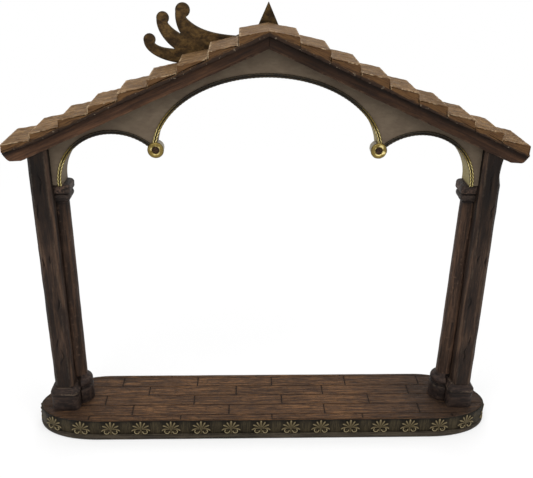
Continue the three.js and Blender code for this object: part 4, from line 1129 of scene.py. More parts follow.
@dataclass(frozen=True)
class Pier:
    """One pier: post on its plinth, and a round column with base and capital behind and inside it."""

    side: int
    name: str
    rake: Rake
    post_step: float = 1.3
    outline_step: float = 0.6
    front_chamfer: float = 3.0
    rear_chamfer: float = 1.0
    post_trim: float = 2.4
    plinth_trim: float = 1.1
    plinth_outer: Pair = (1.6, 0.0)  # how much wider the left and the right plinth are outside
    plinth_corner: float = 5.5
    joint_corner: float = 1.4
    column_y: float = 2.5
    column_lean: Pair = (3.3, -0.3)  # of the right column to the inside, at its foot and its head
    column_levels: Pair = (22, 260)
    clearance: float = 0.2
    drum: float = 14.0
    drum_top: float = 16.5
    torus: tuple[float, float, float] = (4.3, 4.6, 1.6)  # radius, its middle inside the drum's edge, gap below
    shaft: float = 8.9
    capital_corner: float = 4.6
    roof_shade: Pair = (205, 70)  # where the painted shade under the roof starts on the post, and how soon it is full
    nick: tuple[float, float, float, float] = (263.0, 273.0, 289.0, 3.0)  # start, deepest, end, depth
    cracks: tuple[tuple[float, float, float], ...] = (
        (0.4, 265, 9), (-5.5, 187, 5), (1.5, 190, 4), (1.9, 84, 9), (-1, 100, 5), (-4, 238, 7), (4, 143, 6),
    )  # place across the front, height, half length

    # Profiles from the foot up: how far past the size, and how high.
    PLINTH = (
        (-2.4, 0), (-0.7, 0), (-0.35, 0.5), (-0.45, 4), (-0.55, 9), (-0.5, 14), (-0.6, 17), (-1.0, 17.7),
        (-0.6, 18.1), (-0.15, 18.6), (0, 19.4), (0, 20.6), (-0.2, 21.4), (-0.7, 22.1), (-1.5, 23),
        (-2.2, 24.2), (-2.7, 25.4), (-2.9, 26.0), (-5.5, 26.2),
    )
    DRUM = ((-2, 0), (-0.3, 0), (0, 0.6), (-0.15, 5), (-0.2, 11), (-0.1, 15.7), (-0.6, 16.4), (-2.2, 16.8))
    FLARE = ((0.9, 9.1), (0.35, 10.6))
    CAPITAL = (
        (-4.6, 0), (-3.4, 0.1), (-3.1, 0.7), (-3.4, 1.3), (-3.0, 1.9), (-1.9, 2.7), (-1.1, 4.0), (-0.75, 5.6),
        (-0.9, 7.2), (-1.5, 8.3), (-2.1, 8.9), (-1.9, 9.3), (-1.0, 9.7), (-0.35, 10.2), (0, 11.1),
        (0, 15.4), (-0.4, 16.7), (-1.2, 17.6), (-2.4, 18.1), (-3.6, 18.2),
    )

    POST_PAINT = Finish("post paint", "post_paint", (34, 26, 22), (51, 39, 32), (80, 62, 49), (104, 94, 80),
                        Grain.UPRIGHT, (60, 5.5), patch=50, patchy=0.4, splits=0.1, wear=0.14, wash=0.92,
                        relief=0.3, roughness=(0.45, 0.7), tones=0.6)
    PLINTH_PAINT = Finish("plinth paint", "post_paint",
                          (30, 24, 22), (48, 38, 34), (68, 54, 46), (120, 104, 88),
                          streak=(14, 3), patch=16, patchy=0.4, splits=0.3, wear=0.45, relief=0.3,
                          roughness=(0.45, 0.7))
    COLUMN_PAINT = Finish("column paint", "column_paint",
                          (36, 27, 22), (59, 44, 35), (88, 66, 51), (120, 94, 76),
                          Grain.UPRIGHT, (50, 2.6), patch=40, patchy=0.4, splits=0.3, wear=0.4, relief=0.25,
                          roughness=(0.4, 0.65), tones=0.5, specks=0.35)
    # The capital's paint is darker than the column's: painted shade under the valance.
    SHADED_CAPITAL_PAINT = Finish("capital paint", "column_paint",
                           (29, 24, 22), (45, 37, 33), (62, 51, 44), (112, 88, 74),
                           streak=(10, 4), patch=14, patchy=0.4, splits=0.2, wear=0.5, relief=0.3,
                           roughness=(0.45, 0.7))

    def box(self, part: str) -> Box:
        """The box of one of the pier's solids."""
        return Box.of(f"{part}_{self.name}")

    def slimmed(self, part: str, trim: float) -> Box:
        """The box of a part, cut back on its inner side."""
        box = self.box(part)
        (box.low if self.side > 0 else box.high)[0] += self.side * trim
        return box

    @property
    def axis(self) -> np.ndarray:
        """X and Y of the column's axis: a radius outside the shaft's inner edge."""
        box = self.box("column_shaft")
        return np.array([self.side * (min(abs(box.low[0]), abs(box.high[0])) + self.shaft), self.column_y])

    @property
    def foot_tone(self) -> float:
        """Shade of the plinth and the column's base: the right ones are darker."""
        return 0.32 - 0.18 * self.side

    def fitted(self, rings: np.ndarray, room: Box) -> np.ndarray:
        """Rings of the column as they stand: the right one's lean, and all keep clear of the post or plinth.

        The lean moves points to the inside, the more the lower they stand. Points in the room then move to
        its inner or its back face, the nearer one.

        Args:
            rings: of an upright column.
            room: the box of what stands beside it.

        Returns:
            The moved rings.
        """
        lean = np.interp(rings[..., 2], self.column_levels, self.column_lean) * (self.side > 0)
        x, y = self.side * (rings[..., 0] - lean), rings[..., 1]
        face_x = min(abs(room.low[0]), abs(room.high[0])) - self.clearance
        face_y = room.high[1] + self.clearance
        inside = (x > face_x) & (y < face_y)
        to_x = inside & (x - face_x <= face_y - y)
        x = np.where(to_x, face_x, x)
        y = np.where(inside & ~to_x, face_y, y)
        return np.stack([self.side * x, y, rings[..., 2]], axis=-1)

    def turned(self, profile: np.ndarray, around: int, seed: int,
               wobble: float) -> tuple[np.ndarray, np.ndarray]:
        """Rings of a profile of radius and height turned round the column's axis.

        Args:
            profile: radius and height of each ring.
            around: points in a ring.
            seed: picks the unevenness.
            wobble: how uneven the radius is.

        Returns:
            The rings, and how sharply the profile bends out at each.
        """
        turn = 2 * np.pi * np.arange(around) / around
        high = profile[:, 1][:, None] + 0 * turn
        uneven = unevenness(seed, 14, 10 * np.cos(turn) + 0 * high, 10 * np.sin(turn) + 0 * high, high / 2)
        radius = profile[:, 0][:, None] - wobble * np.abs(uneven)
        x, y = self.axis
        rings = np.stack([x + radius * np.cos(turn), y + radius * np.sin(turn), high], axis=-1)
        side = unit(np.diff(profile, axis=0))
        bend = np.zeros(len(profile))
        bend[1:-1] = side[:-1, 0] * side[1:, 1] - side[:-1, 1] * side[1:, 0]
        return rings, np.clip(bend, 0, 1)[:, None]

    def squared(self, profile: tuple[Pair, ...], middle: np.ndarray, half: Pair, section: Section,
                corners: list[float], seed: int, wave: float) -> tuple[np.ndarray, np.ndarray]:
        """Rings of a rounded rectangle carried up through a profile, a little uneven.

        Args:
            profile: how far past the size, and how high, for each ring.
            middle: x, y and the height of the foot.
            half: half the size in x and in y.
            section: the rectangle.
            corners: radii of its corners.
            seed: picks the unevenness.
            wave: length of the unevenness.

        Returns:
            The rings, and how close to a corner each point is.
        """
        grow, high = np.array(profile).T
        a, b, out_a, out_b, edge = section.ring(half[0] + grow, half[1] + grow, corners)
        z = middle[2] + high[:, None] + 0 * a
        uneven = 0.3 * np.abs(unevenness(seed, wave, middle[0] + a, b, z))
        return np.stack([middle[0] + a - out_a * uneven, middle[1] + b - out_b * uneven, z], axis=-1), edge

    def post(self) -> Skin:
        """The post: a chamfered outline carried up to the roof's slope, with hewn faces, cracks and a nick."""
        box = self.slimmed("post", self.post_trim)
        mid, half, front, rear = box.middle, box.half, self.front_chamfer, self.rear_chamfer
        corners = np.array([
            (-half[0] + front, -half[1]), (half[0] - front, -half[1]), (half[0], -half[1] + front),
            (half[0], half[1] - rear), (half[0] - rear, half[1]), (-half[0] + rear, half[1]),
            (-half[0], half[1] - rear), (-half[0], -half[1] + front),
        ])
        outline = cornered(corners, self.outline_step)
        edge, outline = cornerness(outline, 2), softened(outline, 1)
        out = outward(outline)
        high = np.arange(box.low[2], self.rake.under(mid[0]) + self.post_step, self.post_step)
        share = np.linspace(0, 1, len(high))[:, None]
        a, b = outline.T
        z = box.low[2] + share * (self.rake.under(mid[0] + a) - box.low[2])
        seed = 40 + self.side
        cut = 0.12 * carved_grain(seed, 1.5, z, a + b + 0 * z)
        hewn = 0.3 * np.abs(unevenness(seed, 40, z, 3 * a + 0 * z, 3 * b + 0 * z))
        crack = np.zeros_like(z)
        for index, (aside, level, reach) in enumerate(self.cracks):
            line = -self.side * aside + 1.1 * unevenness(seed + index, 14, z)
            crack += bell(a, line, 0.55) * np.exp(-((z - level) / reach) ** 4) * (b < -half[1] + 0.5)
        push = cut + hewn + 0.9 * np.clip(crack, 0, 1)
        if self.side > 0:
            start, deepest, end, depth = self.nick
            fall = np.interp(z, (start, deepest, end), (0, 1, 0))
            push = push + depth * fall * np.clip(a / half[0], 0, 1) ** 6 * (b < half[1] * 0.6)
        # Painted shade: the post darkened under the roof, less on its inner chamfer, which is painted lighter
        # as it catches the light. The post is also lighter round 160 mm up, and dark in its cracks and grain.
        chamfer = np.clip(2.2 * np.abs(out[:, 0]) * np.clip(-out[:, 1], 0, 1), 0, 1)
        inner = np.clip(-self.side * out[:, 0], 0, 1)
        shaded = np.clip((z - self.roof_shade[0]) / self.roof_shade[1], 0, 1)
        wash = np.clip(1.4 * crack + 1.5 * cut + (0.85 - chamfer * inner) * shaded, 0, 1)
        tone = 0.24 + 0.24 * bell(z, 160, 55) + chamfer * (0.1 + 0.7 * inner)
        rings = np.stack([mid[0] + a - out[:, 0] * push, mid[1] + b - out[:, 1] * push, z], axis=-1)
        return Skin.carried(rings, {"edge": edge + 0 * z, "wash": wash, "tone": tone})

    def plinth(self) -> Skin:
        """The plinth: a rounded section carried up through block, moulding and bevel."""
        box, post = self.box("plinth"), self.box("post")
        outer, trim = self.plinth_outer[self.side > 0], self.plinth_trim
        half = (box.half[0] + (outer - trim) / 2, post.half[1] + box.half[0] - post.half[0])
        middle = np.array([box.middle[0] + self.side * (outer + trim) / 2, box.middle[1], box.low[2]])
        corners = [self.plinth_corner] * 4
        corners[1 if self.side < 0 else 2] = self.joint_corner
        rings, edge = self.squared(self.PLINTH, middle, half, Section(10, 7), corners, 60 + self.side, 12)
        ring = np.arange(len(self.PLINTH))[:, None]
        ridges = np.isin(ring, (9, 10, 11, 17)) * 0.8
        groove = np.isin(ring, (6, 7, 8)) * 0.8
        masks = {"edge": np.maximum(edge * 0.35, ridges), "wash": groove, "tone": self.foot_tone}
        return Skin.carried(rings, masks)

    def column_base(self) -> Skin:
        """The column's base: drum, groove, torus and the flare to the shaft, kept clear of the plinth."""
        box = self.box("column_base")
        torus, inset, gap = self.torus
        foot = self.drum_top + gap
        turn = np.radians(np.linspace(-65, 80, 12))
        profile = np.vstack([
            np.array(self.DRUM) + [self.drum, 0],
            np.stack([self.drum - inset + torus * np.cos(turn), foot + torus + torus * np.sin(turn)], axis=1),
            np.array(self.FLARE) + [self.shaft, foot],
            [[self.shaft - 0.1, box.high[2] - box.low[2]]],
        ]) + [0, box.low[2]]
        rings, bend = self.turned(profile, 96, 70 + self.side, 0.35)
        rings = self.fitted(rings, self.slimmed("plinth", self.plinth_trim))
        groove = bell(rings[..., 2], box.low[2] + self.drum_top + 0.9, 1.1)
        return Skin.carried(rings, {"edge": bend * 0.8, "wash": groove, "tone": self.foot_tone})

    def column_shaft(self) -> Skin:
        """The shaft: a round section with long shallow flutes of grain, kept clear of the post."""
        box, axis = self.box("column_shaft"), self.axis
        high = np.arange(box.low[2] - 1, box.high[2] + 2.5, 1.6)
        profile = np.stack([np.full(len(high), self.shaft), high], axis=1)
        rings, _ = self.turned(profile, 80, 80 + self.side, 0.2)
        turn = np.arctan2(rings[..., 1] - axis[1], rings[..., 0] - axis[0])
        cut = carved_grain(90 + self.side, 1.9, rings[..., 2], turn * self.shaft)
        rings[..., :2] = axis + (rings[..., :2] - axis) * (1 - 0.022 * cut)[..., None]
        rings = self.fitted(rings, self.slimmed("post", self.post_trim))
        # Painted shade: darker just under the capital. Painted light: the right column lighter than the left,
        # and the left one lighter below 150 mm.
        top = np.exp(-(box.high[2] - rings[..., 2]) / 9)
        tone = 0.48 + 0.2 * self.side + 0.3 * np.clip((150 - rings[..., 2]) / 90, 0, 1) * (self.side < 0)
        return Skin.carried(rings, {"wash": np.clip(0.5 * cut + 0.7 * top, 0, 1), "tone": tone})

    def capital(self) -> Skin:
        """The capital: a neck ring, a swelling cushion and a square abacus with well rounded corners."""
        box = self.box("capital")
        middle, half = np.array([*self.axis, box.low[2]]), (box.half[1], box.half[1])
        corners = [self.capital_corner] * 4
        rings, edge = self.squared(self.CAPITAL, middle, half, Section(8, 8), corners, 50 + self.side, 9)
        rings = self.fitted(rings, self.slimmed("post", self.post_trim))
        high = np.array(self.CAPITAL)[:, 1][:, None]
        grooves = bell(high, 9.1, 0.5) + bell(high, 1.4, 0.4)
        ridges = np.isin(np.arange(len(self.CAPITAL))[:, None], (14, 15, 16)) * 0.8
        masks = {"edge": np.maximum(edge * 0.4, ridges), "wash": grooves, "tone": 0.5}
        return Skin.carried(rings, masks)

    def build(self) -> None:
        """Makes and dresses the pier's pieces."""
        skins = {"post": (self.post(), self.POST_PAINT), "plinth": (self.plinth(), self.PLINTH_PAINT),
                 "column_base": (self.column_base(), self.PLINTH_PAINT),
                 "column_shaft": (self.column_shaft(), self.COLUMN_PAINT),
                 "capital": (self.capital(), self.SHADED_CAPITAL_PAINT)}
        for part, (skin, paint) in skins.items():
            skin.put(f"{self.name}_{part}", paint, f"{part}_{self.name}")


@dataclass(frozen=True)
class Arch:
    """One arch: half an ellipse on its springing."""

    x: float
    half_width: float
    rise: float
    spring: float

    def edge(self) -> np.ndarray:
        """Many points of the arch from its right foot to its left foot."""
        turn = np.linspace(0, np.pi, 4001)
        x, z = self.x + self.half_width * np.cos(turn), self.spring + self.rise * np.sin(turn)
        return np.stack([x, z], axis=1)

    def holds(self, points: np.ndarray) -> np.ndarray:
        """Whether each point lies in the opening."""
        across, up = (points[:, 0] - self.x) / self.half_width, (points[:, 1] - self.spring) / self.rise
        return across ** 2 + up ** 2 < 1


@dataclass(frozen=True)
class Gable:
    """The valance with its three arches, the gilt cords round them and the roundels over the cusps."""

    rake: Rake
    middle_half: float = 99.0
    middle_drop: float = 26.3
    spring_lift: float = 27.0
    overlap: float = 9.5
    foot_inset: float = 6.9
    stilt: float = 3.0
    side_drop: float = 14.5
    column_x: float = 191.4
    step: float = 1.2
    cord_step: float = 0.5
    cord_radius: float = 0.76
    cord_swell: float = 0.16
    cord_twist: float = 3.4
    cord_places: Pair = (0.8, 2.95)
    cord_stand: float = 0.55
    cord_width: float = 3.7
    ring_tube: float = 2.1

    VALANCE_PAINT = GildedPaint("valance paint", "valance_paint",
                                (98, 85, 71), (104, 91, 76), (111, 98, 82), (74, 62, 50),
                                streak=(16, 8), patch=40, patchy=0.08, splits=0.0, wear=0.6,
                                relief=0.08, roughness=(0.6, 0.8), gold=(124, 113, 80), glint=(150, 138, 98),
                                shine=0.15, low=0.3, high=0.9)
    GILT = GildedPaint("gilt", "gilt", (26, 20, 13), (42, 33, 21), (64, 51, 31), (120, 104, 66),
                       streak=(4, 1.2), patch=6, patchy=0.3, splits=0.2, wear=0.0, wash=0.95, relief=0.1,
                       roughness=(0.22, 0.4), gloss=0.2, gold=(122, 104, 54), glint=(234, 216, 150),
                       shine=0.7, low=0.15, high=0.6)

    def side_arch(self) -> Arch:
        """The right side arch, from the capital to its overlap with the middle arch."""
        foot = self.column_x - self.foot_inset
        half = (foot - self.middle_half + self.overlap) / 2
        spring = Box.of("valance").low[2] + self.stilt
        return Arch(foot - half, half, self.rake.under(foot - half) - self.side_drop - spring, spring)

    def middle_arch(self) -> Arch:
        """The wide arch in the middle."""
        spring = Box.of("valance").low[2] + self.stilt + self.spring_lift
        return Arch(0.0, self.middle_half, self.rake.under(0.0) - self.middle_drop - spring, spring)

    def middle_edge(self) -> np.ndarray:
        """The middle arch from its right cusp to its left cusp: the part outside both side arches."""
        side, points = self.side_arch(), self.middle_arch().edge()
        return points[~side.holds(points) & ~side.holds(points * [-1, 1]) & (np.abs(points[:, 0]) < side.x)]

    def side_edge(self) -> np.ndarray:
        """The right side arch from its foot on the capital to its cusp."""
        side = self.side_arch()
        points = side.edge()
        foot = [[side.x + side.half_width, Box.of("valance").low[2]]]
        return np.vstack([foot, points[~self.middle_arch().holds(points)]])

    def valance(self) -> Skin:
        """The valance: a thick board whose foot follows the three arches."""
        box, under = Box.of("valance"), self.rake.under
        outer, low = box.high[0], box.low[2]
        right, middle = evenly(self.side_edge(), self.step), evenly(self.middle_edge(), self.step)
        top = [[-outer, low], [-outer, under(outer)], [0, under(0.0)], [outer, under(outer)], [outer, low]]
        outline = np.vstack([top, right, middle[1:-1], (right * [-1, 1])[::-1]])

        def soffits(points: np.ndarray, out: np.ndarray) -> Masks:
            """Gold rubbed on the steep legs of the arches, and more of it on the right as painted light, where
            those legs face the light.
            """
            legs = (np.abs(points[:, 0]) < outer - 1) & (points[:, 1] > low + 0.5) & (out[:, 1] < 0.3)
            more = 0.75 + 0.3 * np.sign(points[:, 0])
            return {"gold": more * legs * np.abs(out[:, 0]).clip(0, 1) ** 1.5}

        board = Board(box.low[1], box.high[1], bevel=0.5, inset=0.8, spacing=5.0, bevel_steps=3)
        return board.skin(outline, marks=soffits)

    def cord(self, edge: np.ndarray, roundels: list[Box]) -> Skin:
        """Two twisted strands side by side on a flat fillet, along the edge of an arch.

        A strand's section is a circle whose radius swells three times round it, and the swelling turns once in
        every twist along the arch.

        Args:
            edge: the line of the arch, its opening on the left.
            roundels: boxes of the roundels, where the cord stops.

        Returns:
            The skin. Its gold mask is painted light over the gilding: high on the strands' front crests, which
            take the glint, and low over the crowns of the arches, left dark as painted shade.
        """
        line = evenly(edge, self.cord_step)
        gaps = [np.hypot(*(line - box.middle[[0, 2]]).T) - box.half[0] for box in roundels]
        line = line[np.min(gaps, axis=0) > -1]
        tangent = unit(np.gradient(line, axis=0))
        away = np.stack([tangent[:, 1], -tangent[:, 0]], axis=1)[:, None, :]
        way = np.arange(len(line))[:, None] * self.cord_step
        face = Box.of("valance").low[1]

        def beside(out: np.ndarray, y: np.ndarray) -> np.ndarray:
            """Points at a distance from the line and at a depth."""
            flat = line[:, None, :] + out[..., None] * away
            return np.stack([flat[..., 0], np.broadcast_to(y, flat.shape[:2]), flat[..., 1]], axis=-1)

        # Painted light and shade: gold bright on the steep legs, and the crowns of the arches left dark.
        steep = np.clip(1.6 * np.abs(tangent[:, 1]) ** 3 - 0.2, 0.12, 1)[:, None]
        turn = np.linspace(0, 2 * np.pi, 15)[:-1]
        skins = []
        for place, hand in zip(self.cord_places, (1, -1)):
            wave = np.cos(3 * turn - hand * 2 * np.pi * way / self.cord_twist)
            radius = self.cord_radius * (1 + self.cord_swell * wave)
            rings = beside(place + radius * np.cos(turn), face - self.cord_stand + radius * np.sin(turn))
            # Painted highlight on the front crest of each strand, which takes the glint, and painted shade on
            # its back.
            crest = np.clip(-np.sin(turn) * 1.2, 0, 1) * (0.8 + 0.2 * wave)
            masks = {"gold": steep * (0.3 + 0.75 * crest), "wash": (1 - crest) * 0.7}
            skins.append(Skin.carried(rings, masks))
        # The fillet between and behind the strands is dark all over: painted shade.
        fillet = np.array([(0.05, 0.3), (0.05, -0.45), (self.cord_width, -0.45), (self.cord_width, 0.3)])
        skins.append(Skin.carried(beside(fillet[:, 0][None, :], face + fillet[:, 1]), {"wash": 1.0}))
        return Skin.joined(skins)

    def roundel(self, box: Box, seed: int) -> Skin:
        """The roundel: a short drum whose front is a rolled ring round a sunk bore.

        Args:
            box: the box of its solid.
            seed: picks its unevenness.

        Returns:
            The skin.
        """
        outer, front, back, tube = box.half[0], box.low[1], box.high[1], self.ring_tube
        bore, bed = outer - 2 * tube, front + 3.4
        degrees = np.linspace(0, 200, 16)
        turn = np.radians(degrees)
        rim = [[outer - 2, back], [outer - 0.9, back], [outer - 0.6, back - 0.5], [outer - 0.55, front + 4.4],
               [outer - 0.25, bed]]
        ring = np.stack([outer - tube + tube * np.cos(turn), front + tube - tube * np.sin(turn)], axis=1)
        profile = np.vstack([rim, ring, [[bore, front + 2.2], [bore - 0.1, bed], [0.6, bed]]])
        around = 2 * np.pi * np.arange(48) / 48
        cos, sin = np.cos(around), np.sin(around)
        radius = profile[:, 0][:, None] * (1 - 0.02 * np.abs(unevenness(seed, 5, 5 * cos, 5 * sin)))
        depth = np.broadcast_to(profile[:, 1][:, None], radius.shape)
        rings = np.stack([box.middle[0] + radius * cos, depth, box.middle[2] + radius * sin], axis=-1)
        # Painted highlight: the gold, and the glint where it is highest, peaks on the inner front of the
        # rolled ring and in uneven spots. Painted shade on the ring's outer flank; the bore is darkened too.
        crest = np.interp(degrees, (0, 40, 100, 150, 200), (0.5, 0.55, 0.8, 1.0, 0.3))
        glow = 0.16 * unevenness(seed + 4, 5, 6 * cos, 6 * sin)
        gold = np.concatenate([np.full(len(rim), 0.55), crest, [0.1, 0.0, 0.0]])[:, None] + glow
        wash = np.concatenate([np.full(len(rim), 0.2), 0.3 * (degrees < 30), [0.5, 0.9, 0.9]])[:, None]
        return Skin.carried(rings, {"gold": gold, "wash": wash})

    def build(self) -> None:
        """Makes and dresses the gable's pieces."""
        self.valance().put("valance_board", self.VALANCE_PAINT, "valance")
        roundels = {name: Box.of(f"roundel_{name}") for name in SIDES}
        side = self.side_edge()
        edges = {"right": side, "middle": self.middle_edge(), "left": (side * [-1, 1])[::-1]}
        for name, edge in edges.items():
            self.cord(edge, list(roundels.values())).put(f"{name}_cord", self.GILT, f"arch_cord_{name}")
        for seed, (name, box) in enumerate(roundels.items()):
            self.roundel(box, seed).put(f"{name}_roundel", self.GILT, f"roundel_{name}")


@dataclass(frozen=True)
class Roof:
    """The stepped shingles, the ridge cap over them and the barge boards in front of the slabs.

    A pair is for the left and the right side.
    """

    rake: Rake
    point_step: float = 0.9
    row_step: float = 0.62
    grain: float = 1.9
    chips: float = 0.9
    bevels: tuple[Pair, Pair] = ((0.35, 0.1), (0.7, 0.6))  # bevel and inset of the ridge cap, of the shingles
    lift: Pair = (-0.7, 1.0)  # of the tops
    eave_rise: float = 1.4  # of the left eave's edge
    drip_places: tuple[float, ...] = (-230, -212, 0, 90, 150, 230)
    drips: tuple[float, ...] = (0.4, 2.3, 2.7, 2.5, 1.6, 1.2)  # how far the front edges hang down there
    crest_fade: float = 14.0  # how close to the crest the relief is weaker
    grime_and_shadow_drop: float = 2.0
    ridge_tone: float = 0.35
    shadow: Pair = (5.8, 7.2)  # how far down the barge boards are darkened by painted shadow under the shingles
    barge_round: float = 10.0
    barge_corner: float = 0.9
    sink: float = 1.7
    reach: Pair = (0.8, 2.2)  # of the barge boards past the slabs
    shades: tuple[tuple[tuple[float, ...], tuple[float, ...]], ...] = (
        ((0, 20, 60, 120), (0.2, 0.31, 0.5, 0.64)), ((0, 20, 120, 200), (0.05, 0.08, 0.14, 0.36)),
    )  # of the barge boards: distances from the peak, and the tones there
    mitre: float = 0.15
    barge_step: float = 1.6

    BARGE_PAINT = Finish("barge paint", "barge_paint",
                         (46, 31, 22), (66, 45, 32), (86, 60, 42), (112, 88, 68),
                         Grain.SLOPE, (60, 4.2), patch=36, patchy=0.3, splits=0.12, wear=0.35, wash=0.85,
                         relief=0.25, roughness=(0.45, 0.7), tones=1.3)

    @property
    def clear_of(self) -> float:
        """Y just before the barge boards, where the shingles' front edges may hang down."""
        return float(Box.of("barge_board_left").low[1]) - 0.2

    def shingle_paint(self, name: str, dark: Colour, middle: Colour, light: Colour) -> ShinglePaint:
        """The paint of the shingles, told where the roof's underside lies."""
        # The foot of the painted shadow and grime: the shingles' lower line, dropped by grime_and_shadow_drop.
        foot = float(self.rake.line(0.0)) - self.rake.butt - self.grime_and_shadow_drop
        return ShinglePaint(name, "shingle_paint", dark, middle, light, (182, 158, 126),
                            Grain.SLOPE, (40, 3.0), patch=16, patchy=0.18, splits=0.6, wear=0.75,
                            relief=0.4, roughness=(0.55, 0.8), tones=0.4, foot=foot)

    def course(self, name: str, index: int) -> Skin:
        """One course: a wedge with worn corners, its top carved with grain down the slope.

        Args:
            name: of its side.
            index: from 0 at the eave.

        Returns:
            The skin.
        """
        side, box = SIDES[name], Box.of(f"shingle_{name}_{index + 1}")
        line, butt = self.rake.line, self.rake.butt
        near, far = sorted((abs(box.low[0]), abs(box.high[0])))
        top = line(near - self.rake.seat) - self.rake.riser
        eave = line(far)
        corners = np.array([(far, eave - butt), (far, eave), (near, top), (near, line(near) - butt)])
        corners[1:3, 1] += self.lift[side > 0]
        corners[:2, 1] += self.eave_rise * (side < 0) * (index == 0)
        tone = 0.5 - 0.03 * index if side < 0 else 0.22
        return self.wedge(corners * [side, 1], box, 100 + 20 * side + index, self.bevels[1], tone)

    def wedge(self, corners: np.ndarray, box: Box, seed: int, bevel: Pair, tone: float) -> Skin:
        """A shingle course or the ridge cap from its corners in X and Z.

        Args:
            corners: of its section.
            box: the box of its solid, for its front and back.
            seed: picks its grain and its chips.
            bevel: bevel and inset of its rims.
            tone: its shade, 0 to 1, give or take a little.

        Returns:
            The skin.
        """
        dice = np.random.default_rng(seed)
        outline = softened(turned_out(cornered(corners, self.point_step)), 3)
        shift = dice.uniform(0, 0.5, 2)

        def relief(x: np.ndarray, y: np.ndarray, z: np.ndarray, out_x: np.ndarray,
                   out_z: np.ndarray) -> np.ndarray:
            """Grain on top, uneven butts, chips along the lower front edge, and the hanging front edge."""
            top = np.clip(out_z * 2 - 0.6, 0, 1)
            butt = np.clip(np.abs(out_x) * 2 - 1, 0, 1)
            under = np.clip(-out_z * 2 - 0.8, 0, 1)
            aside = np.abs(x)
            weaker = np.clip((aside + 2) / self.crest_fade, 0.3, 1)
            grain = carved_grain(seed, self.grain, aside, y) * 0.5 * top
            uneven = (0.35 * np.abs(unevenness(seed, 11, x, y, z)) + 0.1) * (1 - 0.6 * butt)
            front = np.exp(-np.minimum(y - box.low[1], box.high[1] - y) / 2.5)
            chip = self.chips * np.clip(unevenness(seed + 7, 5, x, z) - 0.1, 0, 1) * front
            chip = chip * under * np.clip(aside / self.crest_fade - 0.3, 0, 1)
            drip = np.interp(x, self.drip_places, self.drips) * under
            drip = drip * np.clip((self.clear_of - y) / 1.2, 0, 1)
            return drip - (grain + uneven * (1 - under)) * weaker - chip

        board = Board(box.low[1] + shift[0], box.high[1] - shift[1], *bevel, self.row_step, foot_wear=0.0)
        return board.skin(outline, relief, tone + float(dice.uniform(-0.12, 0.12)))

    def ridge(self) -> Skin:
        """The ridge cap: two short slopes that meet at the crest."""
        box, rake = Box.of("ridge_cap"), self.rake
        half, crest = box.high[0], box.high[2]
        head, foot, under = rake.line(half), rake.line(half) - rake.butt, rake.line(0.0) - rake.butt
        corners = np.array([(half, foot), (half, head), (0, crest), (-half, head), (-half, foot), (0, under)])
        return self.wedge(corners, box, 300, self.bevels[0], self.ridge_tone)

    def barge(self, name: str) -> Skin:
        """One barge board: a rounded section carried from the mitre to the eave, its lower corner round.

        The foot of the board is the slab's foot, and near the eave the quarter round that joins it to the
        upright end.

        Args:
            name: of its side.

        Returns:
            The skin.
        """
        side, box = SIDES[name], Box.of(f"barge_board_{name}")
        rake, radius = self.rake, self.barge_round
        outer = max(abs(box.low[0]), abs(box.high[0])) + self.reach[side > 0]
        fall = math.atan(rake.slope)
        drop = rake.butt + rake.seat
        depth = drop + rake.slab + self.sink
        middle_x = outer - radius
        bend_x = middle_x - radius * math.sin(fall)
        share = np.linspace(0, 1, int((outer - self.mitre) / self.barge_step))[:-1]
        end = np.radians(np.linspace(90 - math.degrees(fall), 4, 10))
        x = np.concatenate([self.mitre + share * (bend_x - self.mitre), middle_x + radius * np.cos(end)])
        middle_z = rake.line(outer) - depth + radius * math.tan((math.pi / 2 + fall) / 2)
        curve = middle_z - np.sqrt(radius ** 2 - (x.clip(middle_x - radius) - middle_x) ** 2)
        foot = np.where(x > bend_x, curve, rake.line(x) - depth)
        top = rake.line(x) - drop
        section = Section(per_side=14)
        a, b, out_a, out_b, edge = section.ring(box.half[1], (top - foot) / 2, (self.barge_corner,) * 4)
        seed = 150 + side
        along = x[:, None] / math.cos(fall) + 0 * b
        lines = carved_grain(seed, self.grain, along, b)
        hewn = np.abs(unevenness(seed, 34, along, 2.5 * b))
        nibbled = np.abs(unevenness(seed + 3, 7, along)) * edge
        push = 0.12 * lines + 0.4 * hewn + 0.35 * nibbled
        push = push * np.clip((outer - x) / 1.5, 0.2, 1)[:, None]
        y = box.middle[1] + a - out_a * push
        z = ((top + foot) / 2)[:, None] + b - out_b * push
        rings = np.stack([side * x[:, None] + 0 * y, y, z], axis=-1)
        # Painted shadow under the shingles along the top of the board, as deep as the shadow field says; the
        # tone mask lighter away from the peak, the right board darker.
        upper = np.clip((b - (top - foot)[:, None] / 2 + self.shadow[side > 0]) / 3.6, 0, 1)
        tone = np.interp(x, *self.shades[side > 0])[:, None]
        masks = {"edge": edge * (b < 0) * 0.9, "wash": np.clip(0.7 * upper + 0.3 * lines, 0, 1), "tone": tone}
        return Skin.carried(rings, masks)

    def build(self) -> None:
        """Makes and dresses the roof's pieces."""
        paint = self.shingle_paint("shingle paint", (78, 58, 37), (112, 85, 56), (148, 119, 84))
        crest = self.shingle_paint("ridge paint", (86, 63, 40), (112, 85, 56), (136, 108, 75))
        for name in SIDES:
            self.barge(name).put(f"{name}_barge_board", self.BARGE_PAINT, f"barge_board_{name}")
            for index in range(self.rake.courses):
                course = self.course(name, index)
                course.put(f"{name}_shingles_{index + 1}", paint, f"shingle_{name}_{index + 1}")
        self.ridge().put("ridge_shingle", crest, "ridge_cap")


@dataclass(frozen=True)
class Plume:
    """One curled plume: its knob, the curve down its outer side, its notch and the curve to the next knob."""

    knob: Pair
    radius: float
    start: float
    end: float
    outer: tuple[Pair, Pair]
    notch: Pair
    inner: tuple[Pair, Pair]


